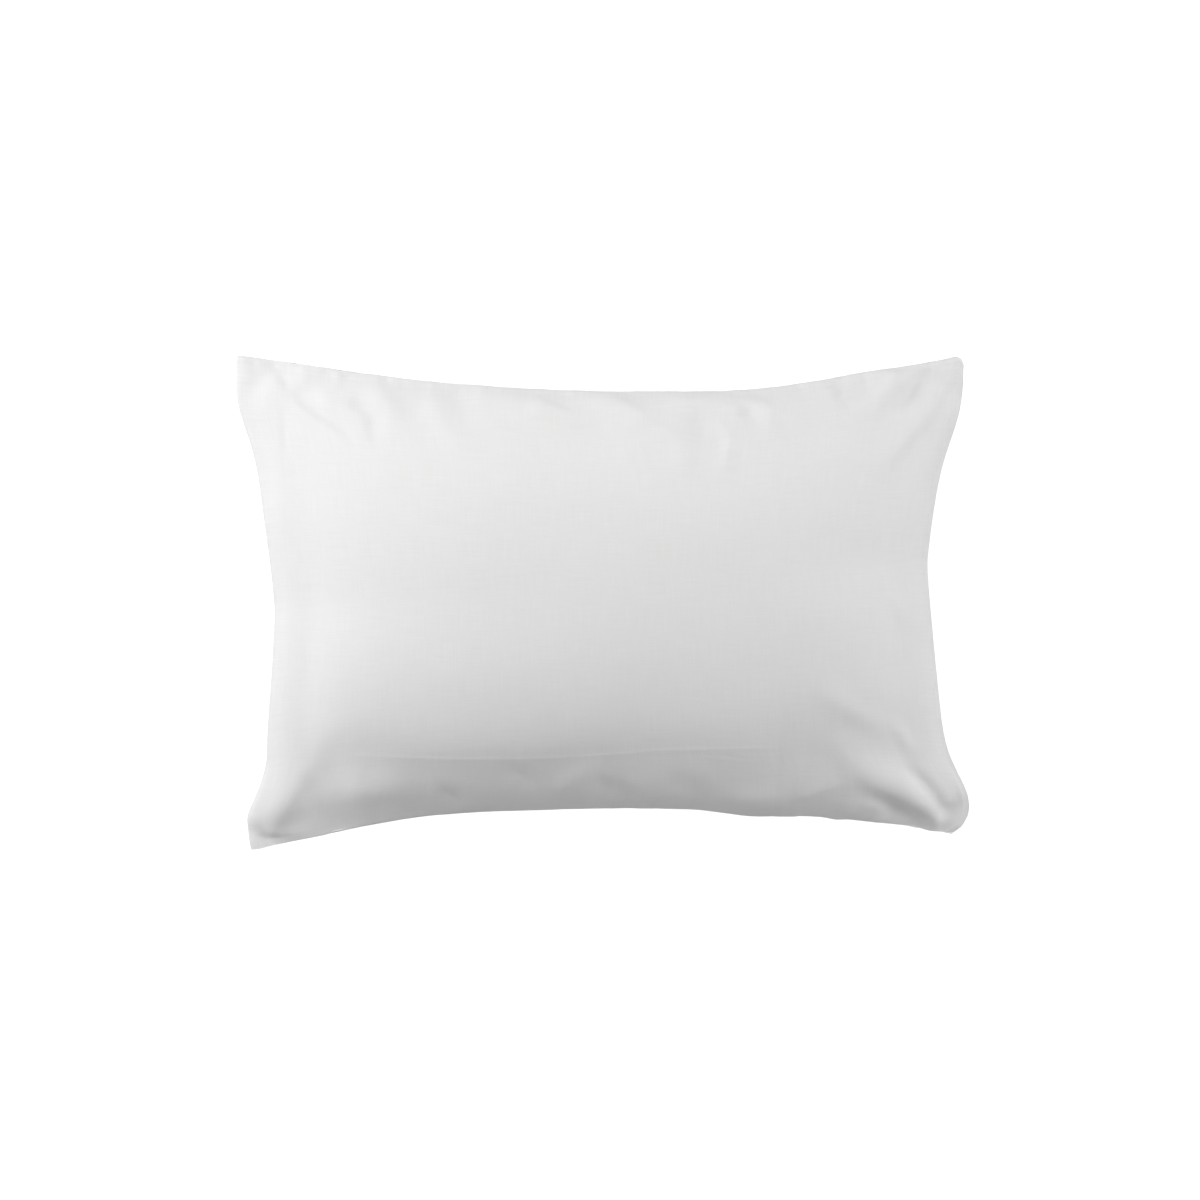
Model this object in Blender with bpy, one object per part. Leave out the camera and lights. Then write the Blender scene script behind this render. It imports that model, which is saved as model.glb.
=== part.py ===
"""Bed pillow: a plain cotton housewife case over a fibre-filled insert, lying flat.

The long side lies along X with the case's open end at +X, the width along Y, and the
pillow's flat underside rests on z = 0. Every layer is read from one puffed-up shape on one
shared net of lines, so that the layers nest inside each other from the case to the filling.

Places on that shape are given as (u, v): u runs from -1 at the closed end to +1 at the open
end, and v from -1 at the bottom side seam to +1 at the top side seam.
"""

import math

import bmesh
import bpy

# ---- Driving dimensions, in metres ----

# The filled pillow.
PILLOW_LENGTH = 0.735
PILLOW_WIDTH = 0.498
CROWN_HEIGHT = 0.176  # top of the pillow above the bed
SEAM_HEIGHT = 0.078  # side seams above the bed, at the middle of each side
CORNER_DROOP = 0.024  # how much lower the four corners lie
BASE_FLATTENING = 0.014  # how far the weight presses the lower bulge flat
END_PULL_IN = 0.036  # middle of each short end, inside the line between its corners
SIDE_PULL_IN = 0.039  # middle of each long side, inside the line between its corners
PULL_IN_POWER = 1.6  # 2 would be a parabola; less keeps the corners pointed
FULLNESS_POWER = 0.45  # 0.5 would be an ellipse; less fills the sides more

# Cloth, thread and filling.
CASE_CLOTH = 0.0005
TICKING_CLOTH = 0.0006
LABEL_CLOTH = 0.0003
THREAD_RADIUS = 0.0002
HEM_PRESSING = 0.0002  # what pressing takes off the two turnings of a hem
LAYER_GAP = 0.0003  # clear air between neighbouring layers

# Case.
FOLD_PROUD = 0.004  # the open end's fold stands this far outside the front panel's edge
MOUTH_HEM = 0.006
FLAP_DEPTH = 0.170  # from the fold to the flap's free edge, along the cloth
FLAP_HEM = 0.020
SEAM_ALLOWANCE = 0.007
SEAM_THICKNESS = 0.0012  # four turned-in edges, overlocked together
SEAM_REACH = 0.95  # seam allowances stop at this share of the way to a corner
STITCH_SET_IN = 0.001  # side-seam stitch, inside the outer edge of its allowance

# Insert.
INSERT_EASE = 0.0012  # between the case's seam allowances and the insert's edge
TICKING_SEAM_EASE = 0.0006  # between the ticking and its own seam allowances
CLOSING_LENGTH = 0.200  # the gap left for filling, then stitched shut
FILLING_EASE = 0.0012

# Care labels, both blank.
LABEL_WIDTH = 0.040
LABEL_LENGTH = 0.030
CASE_LABEL_FROM_END = 0.150  # from the closed end's corner to the middle of the label
TICKING_LABEL_FROM_SIDE = 0.110  # from the bottom side's corner to the middle of the label
LABEL_FACET = 0.008
LABEL_ROW_ANGLE = math.radians(2.5)

# Net of lines that all layers share.
LINES_ALONG = 20
LINES_ACROSS = 14
CLOSEST_LINES = 0.012  # a regular line nearer than this to a wanted one is left out

# ---- Layers, as depths below the outside of the case ----

FRONT, BACK = 1, -1
HEM_CLOTH = 2 * CASE_CLOTH - HEM_PRESSING

MOUTH_HEM_DEPTH = CASE_CLOTH + LAYER_GAP
FLAP_LAYER_DEPTH = MOUTH_HEM_DEPTH + HEM_CLOTH + LAYER_GAP
FLAP_HEM_DEPTH = FLAP_LAYER_DEPTH + CASE_CLOTH + LAYER_GAP
UNDER_FLAP_DEPTH = FLAP_HEM_DEPTH + HEM_CLOTH + LAYER_GAP
TICKING_DEPTH = {FRONT: UNDER_FLAP_DEPTH, BACK: CASE_CLOTH + LAYER_GAP}

# ---- Insets of what lies in the seam plane, from the outline of the case ----

CASE_SEAM_INSET = UNDER_FLAP_DEPTH
TICKING_INSET = CASE_SEAM_INSET + SEAM_ALLOWANCE + INSERT_EASE
TICKING_SEAM_INSET = TICKING_INSET + TICKING_CLOTH + TICKING_SEAM_EASE
FILLING_INSET = TICKING_SEAM_INSET + SEAM_ALLOWANCE + FILLING_EASE

# Colour and roughness of each finish. None is metallic.
FINISHES = {
    "cotton": ((0.84, 0.84, 0.835), 0.85),
    "thread": ((0.88, 0.88, 0.87), 0.6),
    "ticking": ((0.86, 0.86, 0.85), 0.8),
    "label": ((0.80, 0.80, 0.79), 0.5),
    "filling": ((0.90, 0.90, 0.90), 1.0),
}
SHARPEST_SMOOTH_ANGLE = math.radians(50)


# ---- The puffed-up shape ----


def fullness(u, v):
    """How full the pillow is at (u, v): 0 on the seams and 1 in the middle."""
    return (max(0.0, 1 - u * u) * max(0.0, 1 - v * v)) ** FULLNESS_POWER


def seam_plane(u, v):
    """Height of the surface between front and back, which the seams lie in."""
    return SEAM_HEIGHT - CORNER_DROOP * (u * v) ** 2


def plan(u, v, inset):
    """Place of (u, v) seen from above, with the outline drawn in by inset."""
    half_length = PILLOW_LENGTH / 2 - inset - END_PULL_IN * (1 - abs(v) ** PULL_IN_POWER)
    half_width = PILLOW_WIDTH / 2 - inset - SIDE_PULL_IN * (1 - abs(u) ** PULL_IN_POWER)
    return u * half_length, v * half_width


def surface(u, v, side, inset, depth):
    """Point of the layer on one side, inset from the outline and depth below the outside."""
    crown = {FRONT: CROWN_HEIGHT - SEAM_HEIGHT, BACK: SEAM_HEIGHT + BASE_FLATTENING}[side]
    height = side * (LAYER_GAP / 2 + (crown - depth) * fullness(u, v))
    z = seam_plane(u, v) + height
    if side == BACK:
        z = max(z, depth)
    return (*plan(u, v, inset), z)


def line_from_mouth(length):
    """The u whose distance from the open end's fold, along the front's middle, is length."""
    steps = 4000
    walked = 0.0
    previous = surface(1.0, 0.0, FRONT, 0.0, 0.0)
    for step in range(1, steps):
        u = math.sin(math.pi / 2 * (1 - step / steps))
        here = surface(u, 0.0, FRONT, 0.0, 0.0)
        walked += math.dist(previous, here)
        if walked >= length:
            return u
        previous = here
    return 0.0


def net_lines(count, wanted):
    """Lines from -1 to 1, closer together near the ends, with each wanted line among them."""
    regular = [math.sin(math.pi * (i / count - 0.5)) for i in range(count + 1)]
    kept = [x for x in regular if all(abs(x - w) > CLOSEST_LINES for w in wanted)]
    return sorted({-1.0, 1.0, *kept, *wanted})


U_FRONT_EDGE = line_from_mouth(FOLD_PROUD)
U_MOUTH_HEM = line_from_mouth(FOLD_PROUD + MOUTH_HEM)
U_FLAP_STITCH = line_from_mouth(FLAP_DEPTH - FLAP_HEM)
U_FLAP_EDGE = line_from_mouth(FLAP_DEPTH)
V_CLOSING = CLOSING_LENGTH / (PILLOW_WIDTH - 2 * TICKING_INSET)

U_LINES = net_lines(LINES_ALONG, (U_FLAP_EDGE, U_FLAP_STITCH, U_MOUTH_HEM, U_FRONT_EDGE))
V_LINES = net_lines(LINES_ACROSS, (-V_CLOSING, V_CLOSING))


def lines_between(lines, first, last):
    """The net's lines from first to last, both included."""
    return [x for x in lines if first <= x <= last]


# ---- Building solids ----


def material(part_name, finish):
    """A sub-part's own material in one of the finishes."""
    colour, roughness = FINISHES[finish]
    made = bpy.data.materials.new(f"{part_name}_{finish}")
    made.use_nodes = True
    shader = made.node_tree.nodes["Principled BSDF"]
    shader.inputs["Base Color"].default_value = (*colour, 1.0)
    shader.inputs["Roughness"].default_value = roughness
    shader.inputs["Metallic"].default_value = 0.0
    return made


def add_object(name, data, parent, finish):
    """Puts the mesh or curve in the scene as a named sub-part."""
    part = bpy.data.objects.new(name, data)
    bpy.context.scene.collection.objects.link(part)
    part.parent = parent
    data.materials.append(material(name, finish))
    return part


def sheet_net(bm, columns, rows, place):
    """A net of triangles with a point at place(column, row) for each pair of lines.

    Every net is cut along the same diagonals, so that facets of nested layers stay parallel.
    """
    made = bmesh.ops.create_grid(
        bm, x_segments=len(columns) - 1, y_segments=len(rows) - 1, size=1.0
    )
    net = {}
    for vert in made["verts"]:
        i = round((vert.co.x + 1) / 2 * (len(columns) - 1))
        j = round((vert.co.y + 1) / 2 * (len(rows) - 1))
        vert.co = place(columns[i], rows[j])
        net[i, j] = vert
    faces = list({face for vert in made["verts"] for face in vert.link_faces})
    bmesh.ops.triangulate(bm, faces=faces, quad_method="FIXED")
    return net


def rim_of(columns, rows):
    """Places in a net, once round its outer edge."""
    last_i, last_j = len(columns) - 1, len(rows) - 1
    return [
        *((i, 0) for i in range(last_i)),
        *((last_i, j) for j in range(last_j)),
        *((i, last_j) for i in range(last_i, 0, -1)),
        *((0, j) for j in range(last_j, 0, -1)),
    ]


def add_shell(name, parent, finish, columns, rows, outer, inner):
    """A sheet of cloth as a closed solid, between its outer and its inner surface."""
    bm = bmesh.new()
    outside, inside = (sheet_net(bm, columns, rows, place) for place in (outer, inner))
    rim = rim_of(columns, rows)
    for here, after in zip(rim, rim[1:] + rim[:1]):
        bm.faces.new((outside[here], outside[after], inside[after], inside[here]))
    bmesh.ops.recalc_face_normals(bm, faces=bm.faces[:])
    if bm.calc_volume(signed=True) < 0:
        bmesh.ops.reverse_faces(bm, faces=bm.faces[:])
    mesh = bpy.data.meshes.new(name)
    bm.to_mesh(mesh)
    bm.free()
    mesh.shade_smooth()
    mesh.set_sharp_from_angle(angle=SHARPEST_SMOOTH_ANGLE)
    return add_object(name, mesh, parent, finish)


def add_layer(name, parent, finish, columns, rows, side, inset, depth, thickness):
    """A sheet of cloth that lies between two depths of one side of the pillow."""
    return add_shell(
        name, parent, finish, columns, rows,
        lambda u, v: surface(u, v, side, inset, depth),
        lambda u, v: surface(u, v, side, inset + thickness, depth + thickness),
    )


def add_seam(name, parent, finish, lines, edge, inset):
    """A flat strip of seam allowance along one edge, in the seam plane."""

    def face(height):
        def place(along, across):
            u, v = edge(along)
            x, y = plan(u, v, inset + across)
            return x, y, seam_plane(u, v) + height

        return place

    half = SEAM_THICKNESS / 2
    return add_shell(
        name, parent, finish, lines, (0.0, SEAM_ALLOWANCE), face(half), face(-half)
    )


def add_thread(name, parent, points):
    """A row of stitching as one round thread through the points."""
    curve = bpy.data.curves.new(name, "CURVE")
    curve.dimensions = "3D"
    curve.bevel_depth = THREAD_RADIUS
    curve.bevel_resolution = 1
    curve.use_fill_caps = True
    spline = curve.splines.new("POLY")
    spline.points.add(len(points) - 1)
    for point, place in zip(spline.points, points):
        point.co = (*place, 1.0)
    return add_object(name, curve, parent, "thread")


def label_columns(from_corner, half_side):
    """Lines across a label's width, its middle that far from the corner of a side."""
    count = math.ceil(LABEL_WIDTH / LABEL_FACET)
    shares = (i / count - 0.5 for i in range(count + 1))
    return [(from_corner + LABEL_WIDTH * share) / half_side - 1 for share in shares]


def label_rows(place):
    """Lines from a seam at 1 inwards, which together reach LABEL_LENGTH along the cloth."""
    rows = [1.0]
    walked = 0.0
    while walked < LABEL_LENGTH:
        rows.append(math.cos(LABEL_ROW_ANGLE * len(rows)))
        walked += math.dist(place(rows[-2]), place(rows[-1]))
    return rows


# ---- Edges of the pillow, each read along its own length ----


def top_edge(u):
    return u, 1.0


def bottom_edge(u):
    return u, -1.0


def closed_edge(v):
    return -1.0, v


def mouth_edge(v):
    return 1.0, v


# ---- Case ----


def add_case_panels(case):
    """Front and back panels. The front stops short of the fold at the open end."""
    front_lines = lines_between(U_LINES, -1.0, U_FRONT_EDGE)
    add_layer(
        "case_front_panel", case, "cotton", front_lines, V_LINES, FRONT, 0.0, 0.0, CASE_CLOTH
    )
    add_layer("case_back_panel", case, "cotton", U_LINES, V_LINES, BACK, 0.0, 0.0, CASE_CLOTH)


def add_tuck_flap(case):
    """The flap that turns in at the fold and lies between the front panel and the insert."""

    def place(extra):
        def at(u, v):
            in_fold = u == 1.0 and abs(v) < 1.0
            depth = extra if in_fold else FLAP_LAYER_DEPTH + extra
            return surface(u, v, FRONT, depth, depth)

        return at

    flap_lines = lines_between(U_LINES, U_FLAP_EDGE, 1.0)
    add_shell(
        "case_tuck_flap", case, "cotton", flap_lines, V_LINES, place(0.0), place(CASE_CLOTH)
    )


def add_hems(case):
    """Turned hems on the front panel's open edge and on the flap's free edge."""
    mouth_lines = lines_between(U_LINES, U_MOUTH_HEM, U_FRONT_EDGE)
    flap_lines = lines_between(U_LINES, U_FLAP_EDGE, U_FLAP_STITCH)
    for name, columns, rows, depth in (
        ("case_mouth_hem", mouth_lines, V_LINES[1:-1], MOUTH_HEM_DEPTH),
        ("case_flap_hem", flap_lines, V_LINES, FLAP_HEM_DEPTH),
    ):
        add_layer(name, case, "cotton", columns, rows, FRONT, depth, depth, HEM_CLOTH)


def add_hem_stitches(case):
    """One row of stitching along each hem, lying on the cloth that it holds."""
    for name, u, under in (
        ("mouth_hem_stitch", U_MOUTH_HEM, 0.0),
        ("flap_hem_stitch", U_FLAP_STITCH, FLAP_LAYER_DEPTH),
    ):
        depth = under - LAYER_GAP - THREAD_RADIUS
        points = [surface(u, v, FRONT, depth, depth) for v in V_LINES[1:-1]]
        add_thread(name, case, points)


def add_side_seams(case):
    """Turned-in seam allowances along both long sides, each with its stitching."""
    lines = lines_between(U_LINES, -SEAM_REACH, SEAM_REACH)
    lift = SEAM_THICKNESS / 2 + LAYER_GAP + THREAD_RADIUS
    for place, edge in (("top", top_edge), ("bottom", bottom_edge)):
        add_seam(f"case_{place}_seam", case, "cotton", lines, edge, CASE_SEAM_INSET)
        points = []
        for line in lines:
            u, v = edge(line)
            x, y = plan(u, v, CASE_SEAM_INSET + STITCH_SET_IN)
            points.append((x, y, seam_plane(u, v) + lift))
        add_thread(f"{place}_seam_stitch", case, points)


def add_case_label(case):
    """Blank care label, caught in the bottom seam and lying against the back panel."""
    depth = CASE_SEAM_INSET - LAYER_GAP - LABEL_CLOTH
    columns = label_columns(CASE_LABEL_FROM_END, PILLOW_LENGTH / 2)
    rows = label_rows(lambda v: surface(columns[0], -v, BACK, depth, depth))
    add_layer(
        "case_care_label", case, "label", columns, [-v for v in rows], BACK,
        depth, depth, LABEL_CLOTH,
    )


# ---- Insert ----


def add_ticking(insert):
    """Front and back panels of the insert's own cover."""
    for name, side in (("ticking_front_panel", FRONT), ("ticking_back_panel", BACK)):
        add_layer(
            name, insert, "ticking", U_LINES, V_LINES, side, TICKING_INSET,
            TICKING_DEPTH[side], TICKING_CLOTH,
        )


def add_ticking_seams(insert):
    """Turned-in seam allowances on all four sides of the ticking."""
    along = lines_between(U_LINES, -SEAM_REACH, SEAM_REACH)
    across = lines_between(V_LINES, -SEAM_REACH, SEAM_REACH)
    for name, lines, edge in (
        ("ticking_top_seam", along, top_edge),
        ("ticking_bottom_seam", along, bottom_edge),
        ("ticking_plain_end_seam", across, closed_edge),
        ("ticking_filling_end_seam", across, mouth_edge),
    ):
        add_seam(name, insert, "ticking", lines, edge, TICKING_SEAM_INSET)


def add_closing_stitch(insert):
    """The run of stitching that shuts the gap the filling went in through."""
    inset = TICKING_INSET - LAYER_GAP - THREAD_RADIUS
    points = []
    for line in lines_between(V_LINES, -V_CLOSING, V_CLOSING):
        u, v = mouth_edge(line)
        points.append((*plan(u, v, inset), seam_plane(u, v)))
    add_thread("ticking_closing_stitch", insert, points)


def add_ticking_label(insert):
    """Blank care label, caught in the ticking's plain end and lying on its front."""
    inset = TICKING_INSET - LAYER_GAP - LABEL_CLOTH
    depth = TICKING_DEPTH[FRONT] - LAYER_GAP - LABEL_CLOTH
    rows = label_columns(TICKING_LABEL_FROM_SIDE, PILLOW_WIDTH / 2)
    columns = [-u for u in label_rows(lambda u: surface(-u, rows[0], FRONT, inset, depth))]
    add_layer(
        "ticking_care_label", insert, "label", columns, rows, FRONT, inset, depth, LABEL_CLOTH
    )


def add_filling(insert):
    """The soft fibre filling, which takes up the inside of the ticking."""
    under = {side: TICKING_DEPTH[side] + TICKING_CLOTH + LAYER_GAP for side in (FRONT, BACK)}
    add_shell(
        "filling", insert, "filling", U_LINES, V_LINES,
        lambda u, v: surface(u, v, FRONT, FILLING_INSET, under[FRONT]),
        lambda u, v: surface(u, v, BACK, FILLING_INSET, under[BACK]),
    )


def add_group(name):
    """An empty that holds one sub-assembly."""
    group = bpy.data.objects.new(name, None)
    bpy.context.scene.collection.objects.link(group)
    return group


def main():
    for old in list(bpy.data.objects):
        bpy.data.objects.remove(old)
    case = add_group("case")
    for add in (
        add_case_panels,
        add_tuck_flap,
        add_hems,
        add_hem_stitches,
        add_side_seams,
        add_case_label,
    ):
        add(case)
    insert = add_group("insert")
    for add in (
        add_ticking,
        add_ticking_seams,
        add_closing_stitch,
        add_ticking_label,
        add_filling,
    ):
        add(insert)


main()
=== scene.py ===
"""A bed pillow in a plain white cotton housewife case, open at its right-hand end.

Lengths are in metres. The pillow lies on its back panel on the bed at z = 0, its length along x and its
width along y. A place on the cloth is named by u and v, which run from -1 to 1: u from the closed end to
the mouth, v from the bottom side seam to the top one.
"""
import logging
import math
from dataclasses import dataclass, field
from enum import Enum
from typing import Callable, Sequence

import bpy
import numpy as np
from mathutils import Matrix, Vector


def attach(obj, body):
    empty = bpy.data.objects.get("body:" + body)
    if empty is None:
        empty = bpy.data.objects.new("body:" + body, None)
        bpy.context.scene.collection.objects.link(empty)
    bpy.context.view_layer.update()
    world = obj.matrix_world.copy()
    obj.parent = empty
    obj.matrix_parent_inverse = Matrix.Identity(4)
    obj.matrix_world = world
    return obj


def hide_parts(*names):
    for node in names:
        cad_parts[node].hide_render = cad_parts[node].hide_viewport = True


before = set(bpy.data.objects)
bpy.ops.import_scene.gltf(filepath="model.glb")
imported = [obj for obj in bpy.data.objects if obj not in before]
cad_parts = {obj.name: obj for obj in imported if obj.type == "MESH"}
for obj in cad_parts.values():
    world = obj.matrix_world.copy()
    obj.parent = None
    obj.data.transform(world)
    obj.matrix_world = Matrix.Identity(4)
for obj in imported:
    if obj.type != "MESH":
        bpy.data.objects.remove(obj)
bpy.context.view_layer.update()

LOG = logging.getLogger("pillow")
MM = 0.001
BODY = "root"
# The flat cuts of the case's panels, the ticking's panels and both labels.
CASE_CUT = (0.500, 0.750)
LABEL_CUT = (0.040, 0.030)
# How many rows of one face's net run on round the rim into the other's.
RIM_ROWS = 4
# What sets the back's random runs apart from the front's.
BACK_SEED = 50
# Thread patterns are drawn about three times as coarse as the threads are, so that they show.
WAVE_COARSE = 10.0
# How the cotton behaves as it fills: light, soft in bending, firm along its threads and well damped.
COTTON = {
    "quality": 6, "mass": 0.15, "air_damping": 8.0,
    "tension_stiffness": 20.0, "compression_stiffness": 12.0, "shear_stiffness": 4.0,
    "bending_stiffness": 0.15, "tension_damping": 5.0, "compression_damping": 5.0, "shear_damping": 5.0,
    "use_pressure": True, "use_pressure_volume": True, "vertex_group_shrink": "seams", "shrink_min": 0.0,
}
Array = np.ndarray
Depth = Callable[[Array, Array], Array]


class Side(Enum):
    """The two faces of the pillow."""

    FRONT = 1
    BACK = -1

    @property
    def other(self) -> "Side":
        """The face on the other side."""
        return Side(-self.value)


class Profile(Enum):
    """How a fold in the cloth is shaped across its line."""

    ROLL = "rises on one flank and falls on the other, each with its own reach"
    STEP = "rises at the line and dies away slowly beyond it"


# ---------------------------------------------------------------- small tools


def smooth_step(value: Array, low: float, high: float) -> Array:
    """Rises from 0 to 1 between two limits, level at both ends.

    Args:
        value: What is measured.
        low: Where the rise starts.
        high: Where it ends.

    Returns:
        The share risen, from 0 to 1.
    """
    share = np.clip((value - low) / (high - low), 0.0, 1.0)
    return share * share * (3.0 - 2.0 * share)


def spline_weights(lines: Array, knots: int) -> Array:
    """Weights that read a regular run of knots, from -1 to 1, at any lines, along a smooth curve.

    Args:
        lines: Where to read, from -1 to 1.
        knots: How many knots the run has.

    Returns:
        One row of weights for each line.
    """
    at = (np.clip(lines, -1.0, 1.0) + 1.0) / 2.0 * (knots - 1)
    base = np.clip(np.floor(at).astype(int), 0, knots - 2)
    t = at - base
    shares = (
        (-t + 2 * t**2 - t**3) / 2,
        (2 - 5 * t**2 + 3 * t**3) / 2,
        (t + 4 * t**2 - 3 * t**3) / 2,
        (t**3 - t**2) / 2,
    )
    weights = np.zeros((len(lines), knots))
    rows = np.arange(len(lines))
    for offset, share in zip((-1, 0, 1, 2), shares):
        index = base + offset
        before, after = index < 0, index >= knots
        inside = ~(before | after)
        np.add.at(weights, (rows[inside], index[inside]), share[inside])
        for outside, last, inner in ((before, 0, 1), (after, knots - 1, knots - 2)):
            np.add.at(weights, (rows[outside], last), 2 * share[outside])
            np.add.at(weights, (rows[outside], inner), -share[outside])
    return weights


def resample(net: Array, u_lines: Array, v_lines: Array) -> Array:
    """Reads a net of points along other lines.

    Args:
        net: Points or numbers on a regular net of u by v.
        u_lines: The lines wanted along the pillow.
        v_lines: The lines wanted across it.

    Returns:
        The points or numbers at each crossing.
    """
    along = spline_weights(u_lines, net.shape[0])
    across = spline_weights(v_lines, net.shape[1])
    return np.einsum("ai,ij...,bj->ab...", along, net, across, optimize=True)


def blur(net: Array, cells: float, axes: Sequence[int] = (0, 1)) -> Array:
    """Smooths a net of points, carrying its borders on in a straight line.

    Args:
        net: Points on a regular net.
        cells: The reach of the smoothing, in cells.
        axes: The ways along which it smooths.

    Returns:
        The smoothed net.
    """
    reach = int(3 * cells) + 1
    weights = np.exp(-0.5 * (np.arange(-reach, reach + 1) / cells) ** 2)
    weights /= weights.sum()
    for axis in axes:
        lined = np.moveaxis(net, axis, 0)
        before = 2 * lined[:1] - lined[reach:0:-1]
        after = 2 * lined[-1:] - lined[-2 : -reach - 2 : -1]
        padded = np.concatenate([before, lined, after])
        lined = sum(w * padded[k : k + len(lined)] for k, w in enumerate(weights))
        net = np.moveaxis(lined, 0, axis)
    return net


def ripples(seed: int, knots: tuple[int, int], u_lines: Array, v_lines: Array) -> Array:
    """Gentle random unevenness, the same on every run.

    Args:
        seed: Which unevenness.
        knots: How many random knots along and across.
        u_lines: The lines wanted along the pillow.
        v_lines: The lines wanted across it.

    Returns:
        A number near -1 to 1 at each crossing.
    """
    random = np.random.default_rng(seed)
    return resample(random.uniform(-1.0, 1.0, knots), u_lines, v_lines)


def normals_of(net: Array, side: Side) -> Array:
    """Outward normals of one face of the pillow.

    Args:
        net: The face's points.
        side: Which face it is.

    Returns:
        Unit normals.
    """
    along = np.gradient(net, axis=0)
    across = np.gradient(net, axis=1)
    normal = np.cross(along, across) * side.value
    return normal / np.maximum(np.linalg.norm(normal, axis=-1, keepdims=True), 1e-12)


def distance_to_line(points: Array, line: Array) -> tuple[Array, Array]:
    """How far points in plan lie to the left of a line, and how far along it.

    Args:
        points: Plan places, (..., 2).
        line: The line's own points, (n, 2).

    Returns:
        The signed distance from the line, and the share of its length passed.
    """
    best = np.full(points.shape[:-1], np.inf)
    signed = np.zeros_like(best)
    passed = np.zeros_like(best)
    lengths = np.linalg.norm(np.diff(line, axis=0), axis=1)
    starts = np.concatenate([[0.0], np.cumsum(lengths)])
    for number, (start, end) in enumerate(zip(line[:-1], line[1:])):
        run = end - start
        offset = points - start
        share = np.clip((offset @ run) / (run @ run), 0.0, 1.0)
        away = offset - share[..., None] * run
        distance = np.hypot(away[..., 0], away[..., 1])
        left = run[0] * offset[..., 1] - run[1] * offset[..., 0]
        nearer = distance < best
        best = np.where(nearer, distance, best)
        signed = np.where(nearer, np.where(left < 0, -distance, distance), signed)
        along = (starts[number] + share * lengths[number]) / starts[-1]
        passed = np.where(nearer, along, passed)
    return signed, passed


def smooth_line(knots: Sequence[tuple[float, float]], pieces: int = 16) -> Array:
    """A smooth curve through a few knots given in millimetres.

    Args:
        knots: Plan places in millimetres.
        pieces: How many straight pieces stand for the curve.

    Returns:
        The curve's points in metres.
    """
    places = np.array(knots, float) * MM
    if len(places) == 2:
        share = np.linspace(0.0, 1.0, pieces + 1)[:, None]
        return places[0] * (1 - share) + places[1] * share
    return spline_weights(np.linspace(-1.0, 1.0, pieces + 1), len(places)) @ places


# ---------------------------------------------------------------- folds


@dataclass(frozen=True)
class Fold:
    """A fold, groove or crease in the cloth, laid along a line in plan.

    Attributes:
        knots: The line, in millimetres from the middle of the pillow.
        height: How far it stands out, in millimetres; a groove has a negative height.
        width: Its reach, in millimetres, on both flanks or only to the left of the line.
        steep: Its reach to the right of the line, where that is another one.
        fade: The share of its length over which each end dies away.
        profile: How it is shaped across its line.
    """

    knots: Sequence[tuple[float, float]]
    height: float
    width: float
    steep: float = 0.0
    fade: tuple[float, float] = (0.3, 0.3)
    profile: Profile = Profile.ROLL

    def relief(self, plan: Array) -> Array:
        """How far this fold moves each place on the cloth outwards, in metres.

        Args:
            plan: Plan places, (..., 2).

        Returns:
            The move at each place.
        """
        offset, passed = distance_to_line(plan, smooth_line(self.knots))
        width = self.width * MM
        steep = (self.steep or self.width) * MM
        if self.profile is Profile.STEP:
            rise = 0.5 * (1.0 + np.tanh(offset / steep))
            shape = rise * np.exp(-np.maximum(offset, 0.0) / width)
        else:
            shape = np.exp(-0.5 * (offset / np.where(offset > 0, width, steep)) ** 2)
        ends = smooth_step(passed, 0.0, self.fade[0] + 1e-6)
        ends = ends * (1.0 - smooth_step(passed, 1.0 - self.fade[1] - 1e-6, 1.0))
        return self.height * MM * shape * ends


# ---------------------------------------------------------------- outline


@dataclass(frozen=True)
class Swell:
    """A place where a side of the outline stands out or in.

    Attributes:
        at: Where along the side, from 0 to 1.
        reach: How much of the side it takes.
        out: How far it stands to the left of the way walked, in millimetres.
        tip: The share of the side over which a corner rounds off.
    """

    at: float
    reach: float
    out: float
    tip: float = 0.02


@dataclass(frozen=True)
class Edge:
    """One side of the pillow seen in plan, from corner to corner.

    Attributes:
        start: Its first corner, in millimetres from the middle.
        end: Its last corner.
        pull: How far its middle stands to the left of the line between them, in millimetres.
        power: 2 for a parabola; more for a flatter middle.
        lean: 1 where the deepest point is in the middle; more where it lies farther on.
        swells: Where it stands out of that curve.
    """

    start: tuple[float, float]
    end: tuple[float, float]
    pull: float
    power: float
    lean: float
    swells: tuple[Swell, ...] = ()

    def points(self, lines: Array) -> Array:
        """Plan places along this edge.

        Args:
            lines: Shares of the way, from 0 to 1.

        Returns:
            Places in metres, (n, 2).
        """
        start, end = np.array(self.start), np.array(self.end)
        run = end - start
        left = np.array([-run[1], run[0]]) / np.hypot(*run)
        offset = self.pull * (1.0 - np.abs(2.0 * lines**self.lean - 1.0) ** self.power)
        for swell in self.swells:
            near = np.clip(np.minimum(lines, 1.0 - lines) / swell.tip, 0.0, 1.0)
            rounded = np.sqrt(1.0 - (1.0 - near) ** 2)
            offset = offset + swell.out * np.exp(-(((lines - swell.at) / swell.reach) ** 2)) * rounded
        return (start + run * lines[:, None] + left * offset[:, None]) * MM


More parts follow.
